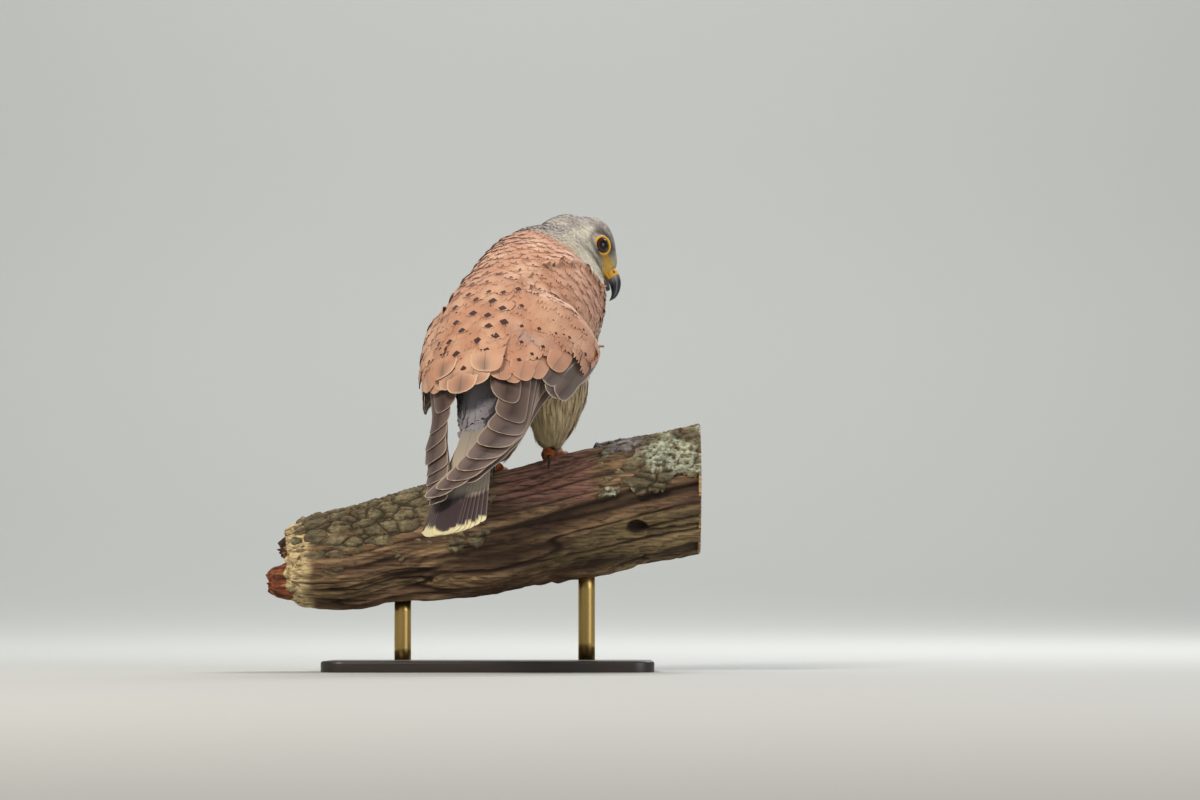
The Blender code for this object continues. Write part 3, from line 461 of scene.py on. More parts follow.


# Matt skin in the feathers' own colours, darkened as painted shade, which shows only between them
skin_material = tinted("feathered_skin", Roughness=0.85, Specular_IOR_Level=0.2)[0]
skin = shape("kestrel_skin", skin_points, skin_faces, skin_material,
             ("torso", "neck", "head", "thigh_left", "thigh_right", "wing_left_coverts",
              "wing_right_coverts", "scapulars"), "chestnut_feather")
paint(skin, "Tint", plumage(skin_points) * 0.86)
bpy.context.view_layer.objects.active = skin
skin.select_set(True)
bpy.ops.object.mode_set(mode="EDIT")
bpy.ops.mesh.select_all(action="SELECT")
bpy.ops.uv.smart_project(angle_limit=1.15, island_margin=0.004)
bpy.ops.object.mode_set(mode="OBJECT")
skin.select_set(False)
skin.data.uv_layers[0].name = "OFBake"
corner_places = read(skin.data.uv_layers[0].data, "uv", 2).reshape(-1, 4, 2)
skin_tree = BVHTree.FromPolygons([tuple(p) for p in skin_points], [tuple(q) for q in skin_faces])
face_normals = unit(read(skin.data.vertices, "normal", 3)[skin_faces].mean(axis=1))


# The back's contour feathers: thin soft vanes of chestnut keratin, each rooted in the skin,
# bent along it towards the tail, and lying over the next like tiles. Their tips are frayed.

BACKWARD = -BODY.axes[1]
# Where the feathers turn: a place in world millimetres, the way they lie there, and its reach
GUIDES = (((78, 50, 243), (-0.64, 0.0, 0.77), 9), ((68, 40, 262), (-0.70, -0.05, 0.62), 12),
          ((66, 52, 280), (-0.80, -0.10, 0.50), 14), ((50, 36, 268), (-0.85, -0.35, 0.15), 12),
          ((44, 48, 282), (-0.80, -0.35, 0.00), 14), ((34, 38, 274), (-0.62, -0.60, -0.45), 12),
          ((22, 44, 266), (-0.45, -0.60, -0.65), 12), ((58, 24, 250), (-0.35, -0.70, -0.45), 12),
          ((82, 62, 250), (-0.30, 0.70, 0.40), 10), ((64, 75, 262), (-0.50, 0.80, 0.10), 12),
          ((60, 60, 240), (-0.10, 0.30, -0.90), 12))


def flow(points, normals):
    """The way the feathers lie at each place, along the surface."""
    total = np.tile(BACKWARD * 0.16, (len(points), 1))
    for place, way, reach in GUIDES:
        near = np.exp(-(np.linalg.norm(points - np.array(place, float), axis=1) / reach) ** 2)
        total = total + near[:, None] * unit(np.array(way, float))
    leg = thigh_share(points)[:, None]
    total = total + leg * (np.array((0.02, -0.18, -1.0)) - total)
    return unit(total - normals * np.sum(total * normals, axis=1, keepdims=True))


def sow(spacing_at, chance_at, tries, seed, reach_at=None):
    """Root places on the skin, no two nearer than the spacing asked for there. With a reach
    given, a feather that would meet an edge or curl round before its end is left out."""
    chooser = np.random.default_rng(seed)
    corners = skin_points[skin_faces]
    middles = corners.mean(axis=1)
    across, along = corners[:, 2] - corners[:, 0], corners[:, 3] - corners[:, 1]
    spacing = spacing_at(middles)
    weight = np.linalg.norm(np.cross(across, along), axis=1) * chance_at(middles) / spacing ** 2
    face = chooser.choice(len(skin_faces), tries, p=weight / weight.sum())
    s, t = chooser.random(tries)[:, None], chooser.random(tries)[:, None]
    place, on_map = ((c[:, 0] * (1 - s) + c[:, 1] * s) * (1 - t)
                     + (c[:, 3] * (1 - s) + c[:, 2] * s) * t
                     for c in (corners[face], corner_places[face]))
    apart = spacing[face]
    bins, kept = {}, []
    homes = np.floor(place / spacing.max()).astype(int)
    for k in range(tries):
        x, y, z = place[k]
        home = tuple(homes[k])
        near = (other for i, j, m in itertools.product((-1, 0, 1), repeat=3)
                for other in bins.get((home[0] + i, home[1] + j, home[2] + m), ()))
        if all((px - x) ** 2 + (py - y) ** 2 + (pz - z) ** 2 >= min(gap, apart[k]) ** 2
               for px, py, pz, gap in near):
            bins.setdefault(home, []).append((x, y, z, apart[k]))
            kept.append(k)
    sown = place[kept], face_normals[face[kept]], on_map[kept]
    if reach_at is None:
        return sown
    reach = reach_at(sown[0])
    spine, _, free = spines(sown[0], sown[1], reach, (0, 0.35, 0.7, 1))
    free &= np.linalg.norm(spine[:, -1] - spine[:, 0], axis=1) > 0.8 * reach
    return tuple(rows[free] for rows in sown)


def spines(roots, normals, lengths, shares):
    """Each feather's shaft, followed over the skin and straight on past the rear edge of it,
    with its outward ways and whether it is free of other edges."""
    places, outs, free = [roots], [normals], np.ones(len(roots), bool)
    here, out = roots, normals
    for before, after in zip(shares, shares[1:]):
        step = here + flow(here, out) * (lengths * (after - before))[:, None]
        found, facing = np.empty_like(step), np.empty_like(step)
        for k, point in enumerate(step):
            hit, _, face, _ = skin_tree.find_nearest(Vector(point))
            found[k] = hit
            facing[k] = face_normals[face]
        edge = np.sum(facing * out, axis=1, keepdims=True) < 0.6
        past = (unit(step - found) @ BACKWARD > 0.8) & (BODY.into(step)[:, 1] < -40)
        past = past[:, None]
        free &= (~edge | (past & (before > 0)))[:, 0]
        here = np.where(edge & past, step, found)
        out = np.where(edge, out, unit(0.4 * out + 0.6 * facing))
        places.append(here)
        outs.append(out)
    return np.stack(places, axis=1), np.stack(outs, axis=1), free


# Each small feather's patch on the bake map, as a share of the map's side
PATCH = 0.003


def vanes(sown, lengths, halves, lift, cells, rows, profile, frayed, loose, seed):
    """Many small feathers in arrays: points, triangles, place on the vane, patch, number.
    The profile is the vane's width at each row, frayed is how uneven the tip is, and loose
    is how far a feather turns out of its neighbours' way."""
    roots, normals, on_map = sown
    chooser = np.random.default_rng(seed)
    count = len(roots)
    shares = list(rows) + [1.0]
    spine, out, _ = spines(roots, normals, lengths, shares)
    way = np.gradient(spine, axis=1)
    way = unit(way - out * np.sum(way * out, axis=2, keepdims=True))
    side = unit(np.cross(way, out) + way * chooser.normal(0, loose, count)[:, None, None])
    side = unit(side + out * chooser.normal(0, loose, count)[:, None, None])
    high = lift[:, None] * np.interp(shares, (0, 0.5, 1), (0.15, 0.72, 1.0))[None, :]
    lines = np.linspace(-1, 1, cells + 1)
    blocks, uvs = [], []
    for k, wide in enumerate(profile):
        for line in lines:
            offset = side[:, k] * (line * wide * halves)[:, None]
            rise = out[:, k] * (high[:, k] - 0.13 * line * line * halves)[:, None]
            blocks.append(spine[:, k] + offset + rise)
            uvs.append((line, rows[k]))
    last = len(rows)
    for line in (lines[1:] + lines[:-1]) / 2:
        reach = (1.0 - 0.22 * line * line) * (1 + chooser.normal(0, frayed, count)) - rows[-1]
        base = spine[:, last - 1] + (spine[:, last] - spine[:, last - 1]) * (
            reach / (1.0 - rows[-1]))[:, None]
        offset = side[:, last] * (line * profile[-1] * 0.9 * halves)[:, None]
        rise = out[:, last] * (high[:, last] - 0.12 * line * line * halves)[:, None]
        blocks.append(base + offset + rise)
        uvs.append((line * 0.9, 1.0))
    points, uvs = np.stack(blocks, axis=1), np.array(uvs)
    faces = []
    stride = cells + 1
    for k, c in itertools.product(range(len(rows) - 1), range(cells)):
        a, b = k * stride + c, (k + 1) * stride + c
        faces += [(a, a + 1, b + 1), (a, b + 1, b)]
    top = (len(rows) - 1) * stride
    faces += [(top + c, top + c + 1, top + stride + c) for c in range(cells)]
    each = points.shape[1]
    triangles = (np.array(faces)[None] + (np.arange(count) * each)[:, None, None]).reshape(-1, 3)
    patch = on_map[:, None] + (uvs * (0.5, 1.0) + (0.0, -0.5))[None] * PATCH
    number = np.repeat(np.arange(count), each)
    return points.reshape(-1, 3), triangles, np.tile(uvs, (count, 1)), patch.reshape(-1, 2), number


def lay_map(made, name, per_point):
    """A UV map from one place on the map for each point of the mesh."""
    corner = read(made.data.loops, "vertex_index", 1).astype(int)[:, 0]
    layer = made.data.uv_layers.new(name=name)
    layer.data.foreach_set("uv", np.asarray(per_point, np.float32)[corner].ravel())


def coat(name, feathers, tints, marks, slot):
    """One piece of the coat, with its colours, its marks and its two maps."""
    points, triangles, vane_map, patch, number = feathers
    made = shape(name, points, triangles, feather_material, (), slot)
    paint(made, "Tint", tints)
    paint(made, "Mark", marks)
    lay_map(made, "OFBake", patch)
    lay_map(made, "Vane", vane_map)
    print(name, number[-1] + 1, "feathers", len(triangles), "triangles")


# Soft barbs with a faint sheen at the edge of the light. Barbs are a few tenths of a millimetre
# apart, too fine to show, so their slanting lines are drawn 1 to 2 mm apart. Some vanes have a
# dark spot near the tip, of wide or narrow diamond shape
feather_material, tree, sockets, tint = tinted("soft_body_feather", Roughness=0.82,
                                               Specular_IOR_Level=0.2, Sheen_Weight=0.2,
                                               Sheen_Roughness=0.5)
mark = add(tree, "SeparateColor", (),
           {0: add(tree, "Attribute", {"attribute_name": "Mark"})["Color"]})
vane = add(tree, "SeparateXYZ", (), {0: add(tree, "UVMap", {"uv_map": "Vane"})[0]})
across = add(tree, "Math", {"operation": "ABSOLUTE"}, {0: vane["X"]})[0]
from_spot = add(tree, "Math", {"operation": "SUBTRACT", 1: 0.80}, {0: vane["Y"]})[0]
from_spot = add(tree, "Math", {"operation": "ABSOLUTE"}, {0: from_spot})[0]
slim = add(tree, "Math", {"operation": "MULTIPLY_ADD", 1: 2.6, 2: 1.4}, {0: mark[1]})[0]
short = add(tree, "Math", {"operation": "MULTIPLY_ADD", 1: -2.4, 2: 5.0}, {0: mark[1]})[0]
spot = add(tree, "Math", {"operation": "MULTIPLY"}, {0: across, 1: slim})[0]
spot = add(tree, "Math", {"operation": "MULTIPLY_ADD"}, {0: from_spot, 1: short, 2: spot})[0]
spot = add(tree, "Math", {"operation": "SUBTRACT"}, {0: mark[0], 1: spot})[0]
spot = add(tree, "Math", {"operation": "MULTIPLY", "use_clamp": True, 1: 9.0}, {0: spot})[0]
tree.links.new(add(tree, "Mix", {"data_type": "RGBA", 7: linear("#452C29")},
                   {0: spot, 6: tint})[2], sockets["Base Color"])
barbs = add(tree, "Math", {"operation": "MULTIPLY", 1: -21.0}, {0: across})[0]
barbs = add(tree, "Math", {"operation": "MULTIPLY_ADD", 1: 60.0}, {0: vane["Y"], 2: barbs})[0]
barbs = add(tree, "Math", {"operation": "SINE"}, {0: barbs})[0]
tree.links.new(add(tree, "Bump", {"Strength": 0.15, "Distance": 0.0002}, {"Height": barbs})
               ["Normal"], sockets["Normal"])


EYE_OUT, EYE_LOOK = 10.6, unit(np.array((0.92, 0.33, 0.10)))


def eye_room(points):
    """None on the eyes, their lids and the bill, one elsewhere."""
    room = 1 - ease(15.5, 17.0, HEAD.into(points)[:, 1])
    for hand in (-1, 1):
        centre = HEAD.out(np.array((hand * EYE_OUT, 0.0, 0.0)) + EYE_LOOK * (hand, 1, 1) * 4.0)
        room = room * ease(6.0, 6.7, np.linalg.norm(points - centre, axis=1))
    return room


def open_skin(points):
    """None on the underside and the rear ends of the beds of coverts, which lie hidden."""
    r, f, u = BODY.into(points).T
    outward = unit(np.stack([r, 0 * r, u - 4], axis=1)) @ BODY.axes
    up = np.sum(face_normals * outward, axis=1)
    back = face_normals @ BACKWARD
    return 1 - ease(-24, -30, f) * np.maximum(ease(0.6, 0.35, up), ease(0.5, 0.7, back))


def body_zone(points):
    """The neck and body, without the head, the thighs and the hidden underside of the beds."""
    off = (points - NECK_POINT) @ NECK_NORMAL
    return ease(1, -5, off) * (1 - thigh_share(points)) * open_skin(points)


def rearward(points, end):
    """None at the nape and breast, one from a given place towards the tail."""
    return ease(45, end, BODY.into(points)[:, 1])


for name, seed, above in (("back_feathers", 31, True), ("belly_feathers", 33, False)):
    def zone(points, above=above):
        """The half of the body above or below the flanks."""
        share = ease(-8, -14, BODY.into(points)[:, 2])
        return body_zone(points) * ((share < 0.5) if above else (share >= 0.5))

    sown = sow(lambda p: 2.5 + 0.9 * rearward(p, -45), zone, tries=26000, seed=seed,
               reach_at=lambda p: 9.0 + 7.0 * rearward(p, -45))
    chooser = np.random.default_rng(seed + 1)
    count = len(sown[0])
    rear = rearward(sown[0], -45)
    feathers = vanes(sown, (9.0 + 7.0 * rear) * chooser.uniform(0.92, 1.08, count),
                     3.3 + 2.5 * rear, 1.2 + chooser.normal(0, 0.05, count), cells=4,
                     rows=(0.0, 0.3, 0.58, 0.82), profile=(0.4, 0.88, 1.0, 0.86),
                     frayed=0.07, loose=0.06, seed=seed + 2)
    points, _, vane_map, _, number = feathers
    tints = plumage(points) * (1 + chooser.normal(0, 0.03, count))[number][:, None]
    # Painted shade: each feather is darker over its root, which lies under the next ones, and full
    # bright at its tip
    tints = tints * (0.93 + 0.09 * ease(0.7, 1.0, vane_map[:, 1]))[:, None]
    marks = np.zeros((len(points), 3))
    if not above:
        marks[:, 0] = (0.55 * (chooser.random(count) < 0.22))[number]
        marks[:, 1] = 1.0
    coat(name, feathers, tints, marks, "chestnut_feather")


# The spotted feathers lie among them: each has a dark brown diamond before its tip, of 5 mm
# on the lower back, of 3 mm on the wings, and as fine as a pen stroke at the nape.


def spot_zone(points):
    """The back and the wings, but not the rump."""
    f, u = BODY.into(points)[:, 1:].T
    return (body_zone(points) * ease(-8, -3, u) * ease(-94, -90, f)
            * ease(0.5, 0.2, rump_share(points)))


def rump_share(points):
    """One on the grey rump under the scapulars, none elsewhere."""
    r, f, u = BODY.into(points).T
    rise = smooth_through(SCAPULAR_KEYS, SCAPULAR_RISE, f)
    return ease(-50, -58, f) * ease(26, 22, np.abs(r)) * ease(-7, -10, u - rise + 0.0075 * r * r)


sown = sow(lambda p: 4.6 + 4.2 * rearward(p, -30), spot_zone, tries=9000, seed=41,
           reach_at=lambda p: 9.0 + 7.0 * rearward(p, -30))
chooser = np.random.default_rng(42)
count = len(sown[0])
r, f = BODY.into(sown[0])[:, :2].T
rear = rearward(sown[0], -30)
feathers = vanes(sown, 9.0 + 7.0 * rear, 3.4 + 2.6 * rear, np.full(count, 1.65), cells=6,
                 rows=(0.0, 0.25, 0.5, 0.7, 0.86), profile=(0.4, 0.85, 1.0, 0.96, 0.78),
                 frayed=0.05, loose=0.04, seed=43)
points, _, vane_map, _, number = feathers
size = (0.36 + 0.46 * rear) * chooser.uniform(0.75, 1.12, count)
size = size * (1 - 0.38 * ease(22, 32, np.abs(r)) * ease(60, 20, f))
marks = np.zeros((len(points), 3))
marks[:, 0] = size[number]
marks[:, 1] = (0.45 * (1 - rear))[number]
coat("spotted_feathers", feathers,
     plumage(points) * (0.98 + 0.04 * ease(0.85, 1.0, vane_map[:, 1]))[:, None], marks,
     "chestnut_feather")


# The head's feathers are slivers of 3 mm on the face and 7 mm at the nape, close and flat,
# grey, three in ten with a dark shaft. They leave the eyes, the bill and the bare skin free.


def head_zone(points):
    """The head and a little of the neck, without eyes and bill."""
    off = (points - NECK_POINT) @ NECK_NORMAL
    return ease(-6, -2, off) * eye_room(points)


def napeward(points):
    """None on the face, one at the nape."""
    return ease(8, -16, HEAD.into(points)[:, 1])


sown = sow(lambda p: 0.85 + 0.8 * napeward(p), head_zone, tries=34000, seed=51,
           reach_at=lambda p: 2.8 + 4.2 * napeward(p))
chooser = np.random.default_rng(52)
count = len(sown[0])
back = napeward(sown[0])
feathers = vanes(sown, 2.8 + 4.2 * back, 0.62 + 0.95 * back,
                 0.42 + 0.5 * back + chooser.normal(0, 0.05, count), cells=2,
                 rows=(0.0, 0.45, 0.78), profile=(0.5, 1.0, 0.8), frayed=0.10, loose=0.08,
                 seed=53)
points, _, vane_map, _, number = feathers
tints = plumage(points) * (1 + chooser.normal(0, 0.07, count))[number][:, None]
# Painted shade: each feather is darker towards its root, which lies under the next ones, and a
# little paler at its tip
tints = tints * (0.88 + 0.18 * ease(0.5, 1.0, vane_map[:, 1]))[:, None]
marks = np.zeros((len(points), 3))
marks[:, 0] = (0.34 * (chooser.random(count) < 0.3))[number]
marks[:, 1] = 1.0
coat("head_feathers", feathers, tints, marks, "grey_feather")


# The thighs wear loose buff plumes of 9 to 19 mm, narrow and uneven, which hang past one
# another as far as the top of the bare shank.

sown = sow(lambda p: np.full(len(p), 1.25), thigh_share, tries=16000, seed=61)
chooser = np.random.default_rng(62)
count = len(sown[0])
feathers = vanes(sown, chooser.uniform(9.0, 19.0, count), chooser.uniform(0.5, 1.4, count),
                 chooser.uniform(0.8, 3.4, count), cells=3, rows=(0.0, 0.35, 0.65),
                 profile=(0.5, 1.0, 0.7), frayed=0.22, loose=0.32, seed=63)
points, _, vane_map, _, number = feathers
tints = plumage(points) * (1 + chooser.normal(0, 0.10, count))[number][:, None]
coat("thigh_feathers", feathers, tints, np.zeros((len(points), 3)), "buff_feather")


# The flight feathers: stiff dark brown vanes on a strong shaft, each with a thin pale edge.
# They lie over one another on each flank, the innermost on top, and only their tips and
# leading edges show. Sheets and sizes are the solids' own.

# How far short of the wing tip each ends, where across the sheet it starts and ends, and its
# half width, from the uppermost to the lowest
SECONDARIES = ((85, 0.84, 0.68, 12), (72, 0.73, 0.47, 12), (58, 0.62, 0.35, 12),
               (44, 0.52, 0.29, 11.5))
PRIMARIES = ((32, 0.44, 0.27, 11), (22, 0.37, 0.27, 10.5), (14, 0.30, 0.30, 10),
             (7, 0.23, 0.37, 9), (1, 0.16, 0.48, 8), (15, 0.10, 0.14, 5))
FIRST_PRIMARY = len(SECONDARIES) + 1
PITCH = 0.85
LINES = np.array((-1, -0.95, -0.86, -0.68, -0.4, -0.08, 0.0, 0.08, 0.4, 0.68, 0.86, 0.95, 1))


def top_index(f):
    """How many feathers have already ended above the sheet's own face at each place."""
    short = [-feather[0] for feather in SECONDARIES + PRIMARIES[:-1]]
    levels = [k for k in range(FIRST_PRIMARY + len(PRIMARIES) - 1) if k != len(SECONDARIES)]
    return np.interp(WING_TIP - f, short, levels)


def long_vane(place, start, end, half, tip_round=0.5):
    """One stiff feather as a thin closed body: points, faces, vane map, distance to its edge."""
    thick = 0.28
    length = abs(end - start)
    rows = np.concatenate([np.linspace(0, 0.86, 15), (0.90, 0.93, 0.955, 0.975, 0.99, 1.0)])
    tip_start = 1 - tip_round * 2 * half / length
    body = np.interp(rows, (0, 0.12, 0.5, 1), (0.62, 0.84, 1.0, 0.97))
    past = np.clip((rows - tip_start) / (1 - tip_start), 0, 1)
    wide = body * np.sqrt(np.clip(1 - past ** 2.4, 0.0, 1)) + 0.012
    top, low, uvs, edge = [], [], [], []
    for row, here, w in zip(rows, start + (end - start) * rows, wide):
        lines = LINES * half * w
        fall = -0.45 * (LINES * w) ** 2 + 0.18 * (np.abs(LINES) < 0.05) - 0.1 * row
        fs = np.full(len(LINES), here)
        top.append(place(fs, lines, fall, row))
        low.append(place(fs, lines, fall - thick * (1 - 0.5 * np.abs(LINES)), row))
        uvs.append(np.stack([LINES, np.full(len(LINES), row)], axis=1))
        edge.append(np.minimum(np.abs(half * w - np.abs(lines)), length * (1 - row)))
    n, m = len(LINES), len(rows)
    under = n * m
    faces = []
    for k in range(m - 1):
        a, b, e = k * n, (k + 1) * n, n - 1
        for c in range(n - 1):
            faces += [(a + c, a + c + 1, b + c + 1, b + c),
                      (under + a + c, under + b + c, under + b + c + 1, under + a + c + 1)]
        faces += [(a, b, under + b, under + a), (a + e, under + a + e, under + b + e, b + e)]
    far = (m - 1) * n
    for c in range(n - 1):
        faces += [(c, under + c, under + c + 1, c + 1),
                  (far + c, far + c + 1, under + far + c + 1, under + far + c)]
    return (np.concatenate(top + low), np.array(faces), np.concatenate(uvs + uvs),
            np.concatenate(edge + edge))


# The empty rim of each cell of the bake map, as a share of the cell
CELL_RIM = 0.03


def feather_sheet(name, pieces, slot, nodes, tint_of):
    """Joins stiff feathers in one piece, with a cell of the bake map for each."""
    columns = int(math.ceil(math.sqrt(len(pieces) * 3)))
    cell = np.array((1 / columns, 1 / math.ceil(len(pieces) / columns)))
    points, faces, maps, patches, tints, base = [], [], [], [], [], 0
    for k, (p, q, uv, edge) in enumerate(pieces):
        side = np.repeat((0.0, 0.5), len(p) // 2)[:, None] * (1, 0)
        corner = np.array((k % columns, k // columns)) * cell
        patches.append((uv * (0.25, 1.0) + (0.25, 0.0) + side) * cell * (1 - 2 * CELL_RIM)
                       + corner + cell * CELL_RIM)
        points.append(p)
        faces.append(q + base)
        maps.append(uv)
        tints.append(tint_of(p, uv, edge))
        base += len(p)
    made = shape(name, np.concatenate(points), np.concatenate(faces), stiff_material, nodes, slot)
    paint(made, "Tint", np.concatenate(tints))
    lay_map(made, "OFBake", np.concatenate(patches))
    lay_map(made, "Vane", np.concatenate(maps))


def flight_tint(points, uv, edge):
    """Dark brown, darkest along the middle, with a pale buff edge."""
    colour = plain("#705D53", len(points))
    middle = np.exp(-((uv[:, 0] + 0.1) / 0.6) ** 2) * ease(0.1, 0.6, uv[:, 1])
    colour = blend(colour, "#402F2A", middle)
    colour = blend(colour, "#5E4C44", 0.6 * ease(0.5, 0.8, cloud(points, 5.0, 70)))
    return blend(colour, "#CDB8A2", 0.9 * ease(0.75, 0.15, edge))


# Firm barbs in slanting lines, drawn about 1 mm apart so that they show, a darker shaft and a
# slight gloss
stiff_material, tree, sockets, tint = tinted("stiff_flight_feather", Roughness=0.6,
                                             Specular_IOR_Level=0.3, Sheen_Weight=0.1)
vane = add(tree, "SeparateXYZ", (), {0: add(tree, "UVMap", {"uv_map": "Vane"})[0]})
across = add(tree, "Math", {"operation": "ABSOLUTE"}, {0: vane["X"]})[0]
shaft = add(tree, "Math", {"operation": "MULTIPLY_ADD", "use_clamp": True, 1: -26.0, 2: 0.9},
            {0: across})[0]
shaft = add(tree, "Math", {"operation": "MULTIPLY", 1: 0.55}, {0: shaft})[0]
tree.links.new(add(tree, "Mix", {"data_type": "RGBA", 7: linear("#33251F")},
                   {0: shaft, 6: tint})[2], sockets["Base Color"])
barbs = add(tree, "Math", {"operation": "MULTIPLY", 1: -70.0}, {0: across})[0]
barbs = add(tree, "Math", {"operation": "MULTIPLY_ADD", 1: 520.0}, {0: vane["Y"], 2: barbs})[0]
barbs = add(tree, "Math", {"operation": "SINE"}, {0: barbs})[0]
tree.links.new(add(tree, "Bump", {"Strength": 0.25, "Distance": 0.0001}, {"Height": barbs})
               ["Normal"], sockets["Normal"])


def laid(sheet, share_in, share_out, depth_at):
    """Where the parts of one feather lie on a wing's sheet."""
    def place(f, across, rise, along):
        share = share_in + (share_out - share_in) * along + across / sheet.width(f)
        return BODY.out(sheet.point(f, share, depth_at(f) + rise))
    return place


for label, sheet in WINGS.items():
    for group, feathers, first in (("secondaries", SECONDARIES, 0),
                                   ("primaries", PRIMARIES, FIRST_PRIMARY)):
        pieces = []
        for k, (short, share_in, share_out, half) in enumerate(feathers):
            def depth_at(f, level=first + k):
                """Each a pitch under the last, and deeper where the coverts lie on top."""
                covered = np.interp(-f, (93, 122), (1.0, 0.0))
                return -PITCH * (4.5 * covered + level - top_index(f))
            pieces.append(long_vane(laid(sheet, share_in, share_out, depth_at), start=-41,
                                    end=WING_TIP + short, half=half))
        feather_sheet(f"wing_{label}_{group}_vanes", pieces, "flight_feather",
                      (f"wing_{label}_{group}",), flight_tint)


# The great coverts, in one row over the roots of the flight feathers, and the longest
# scapulars over the join of wing and back: chestnut, with greyer centres and cream edges.

GREATER_COVERTS = ((-68, 0.34, 0.30, 9), (-80, 0.46, 0.44, 9.5), (-86, 0.59, 0.57, 9.5),
                   (-90, 0.72, 0.69, 9.5), (-91, 0.84, 0.82, 9))
PRIMARY_COVERTS = ((-77, 0.24, 0.26, 8.5), (-80, 0.15, 0.15, 8.5), (-77, 0.08, 0.07, 7.5))
SCAPULARS = ((-90, 12, 14, 9.5), (-98, 6, 7, 10), (-103, 0, 0, 10), (-98, -6, -7, 10),
             (-89, -12, -14, 9.5))


def covert_tint(points, uv, edge):
    """The back's own colour, greyer in the middle, with a faint pale edge."""
    middle = 0.45 * np.exp(-(uv[:, 0] / 0.5) ** 2) * ease(0.7, 0.95, uv[:, 1])
    colour = blend(plumage(points), "#8F7362", middle)
    return blend(colour, "#E0C2A4", 0.4 * ease(0.9, 0.2, edge))


def scapular_tint(points, uv, edge):
    """Grey-brown centres and cream tips near the middle of the back, plain further out."""
    inner = ease(21, 13, np.abs(BODY.into(points)[:, 0]))
    centre = np.exp(-(uv[:, 0] / 0.6) ** 2) * ease(0.78, 0.93, uv[:, 1])
    colour = blend(plumage(points), "#6E5A50", 0.75 * centre * inner)
    return blend(colour, "#E2CBAE", 0.7 * ease(1.0, 0.3, edge) * ease(0.7, 0.9, uv[:, 1]) * inner)


def dark_covert_tint(points, uv, edge):
    """Grey-brown with a cream edge."""
    colour = plain("#75665D", len(points))
    colour = blend(colour, "#5A4B45", np.exp(-(uv[:, 0] / 0.6) ** 2) * ease(0.5, 0.9, uv[:, 1]))
    return blend(colour, "#CDBBA6", 0.85 * ease(1.1, 0.2, edge))


def sunk(f, end):
    """How deep a feather's root lies under the small feathers, none at its tip."""
    return 3.2 * ease(end + 9, end + 22, f)


for label, sheet in WINGS.items():
    for kind, feathers, level, tint_of, slot in (
            ("greater", GREATER_COVERTS, 0, covert_tint, "chestnut_feather"),
            ("primary", PRIMARY_COVERTS, 2, dark_covert_tint, "flight_feather")):
        pieces = []
        for k, (end, share_in, share_out, half) in enumerate(feathers):
            def depth_at(f, depth=level + k % 2, end=end):
                """Every second one a pitch lower, with its root under the small feathers."""
                return -PITCH * depth - 0.1 - sunk(f, end)
            pieces.append(long_vane(laid(sheet, share_in, share_out, depth_at), start=-24,
                                    end=end, half=half))
        feather_sheet(f"wing_{label}_{kind}_coverts", pieces, slot, (), tint_of)
pieces = []
for k, (end, x_in, x_out, half) in enumerate(SCAPULARS):
    def place(f, across, rise, along, k=k, end=end, x_in=x_in, x_out=x_out):
        """Places on one long scapular, laid on their arch."""
        x = x_in + (x_out - x_in) * along + across
        return BODY.out(scapular_point(f, x, rise - PITCH * (k % 2) - sunk(f, end)
                                       - 1.4 * ease(12, 24, np.abs(x))))
    pieces.append(long_vane(place, start=-30, end=end, half=half))
feather_sheet("long_scapulars", pieces, "chestnut_feather", (), scapular_tint)


# The tail: twelve long feathers closed to a narrow fan, the middle pair on top. They are
# grey-buff, with a broad dark band before the cream tips, which are worn and uneven.

TAIL_ROUND = 12.6


def tail_tint(points, _, edge):
    """Grey-buff, with a dark band of 30 mm and a worn cream tip."""
    x, f = BODY.into(points)[:, :2].T
    from_tip = f - TAIL_END - TAIL_ROUND * np.clip(np.abs(x - 9.0) / 16.5, 0, 1) ** 2
    from_tip = (from_tip + 4.0 * (cloud(points, 4.0, 71) - 0.5)
                + 1.6 * (cloud(points, 1.2, 72) - 0.5))
    colour = plain("#B9AC98", len(points))
    colour = blend(colour, "#8F877F", ease(50, 100, from_tip))
    band = ease(3.4, 4.2, from_tip) * ease(35, 32, from_tip)
    colour = blend(colour, "#3A2B2E", band)
    colour = blend(colour, "#DDD3A4", ease(4.2, 3.4, from_tip))
    return blend(colour, "#D2C8AE", 0.45 * ease(0.5, 0.15, edge) * (1 - 0.55 * band))


pieces = []
for k, hand in itertools.product(range(6), (-1, 1)):
    fan = (k + 0.35) / 5.5

    def place(f, across, rise, along, hand=hand, fan=fan, level=2 * k + (hand > 0)):
        """Places on one tail feather, fanned out a little and under the one before it."""
        back = (TAIL_START - f) / (TAIL_START - TAIL_END)
        x = hand * fan * (2.5 + 13.5 * along) + across
        z = 8.5 - 6.0 * back - 0.006 * x * x + 0.6 * rise - 0.36 * level
        return BODY.out(np.stack([x + tail_lean(f), f, z], axis=1))
    end = TAIL_END + TAIL_ROUND * fan ** 2 + 0.6 * (hand < 0)
    pieces.append(long_vane(place, start=-90, end=end, half=8.6 - 0.5 * k, tip_round=0.42))
feather_sheet("tail_vanes", pieces, "tail_feather", ("tail",), tail_tint)


# The eyes, large wet domes in a ring of bare yellow skin. In a museum's mount they are glass,
# dark brown round a black pupil, set in from behind the lids.


def tube(path, radii, sides):
    """Rings of places round a path."""
    path, radii = np.asarray(path, float), np.asarray(radii, float)[:, None, None]
    ways = unit(np.gradient(path, axis=0))
    side = unit(np.cross(ways, (0.31, 0.17, 0.93)))
    turn = around(sides)[None, :, None]
    return (path[:, None] + side[:, None] * np.cos(turn) * radii
            + np.cross(side, ways)[:, None] * np.sin(turn) * radii)


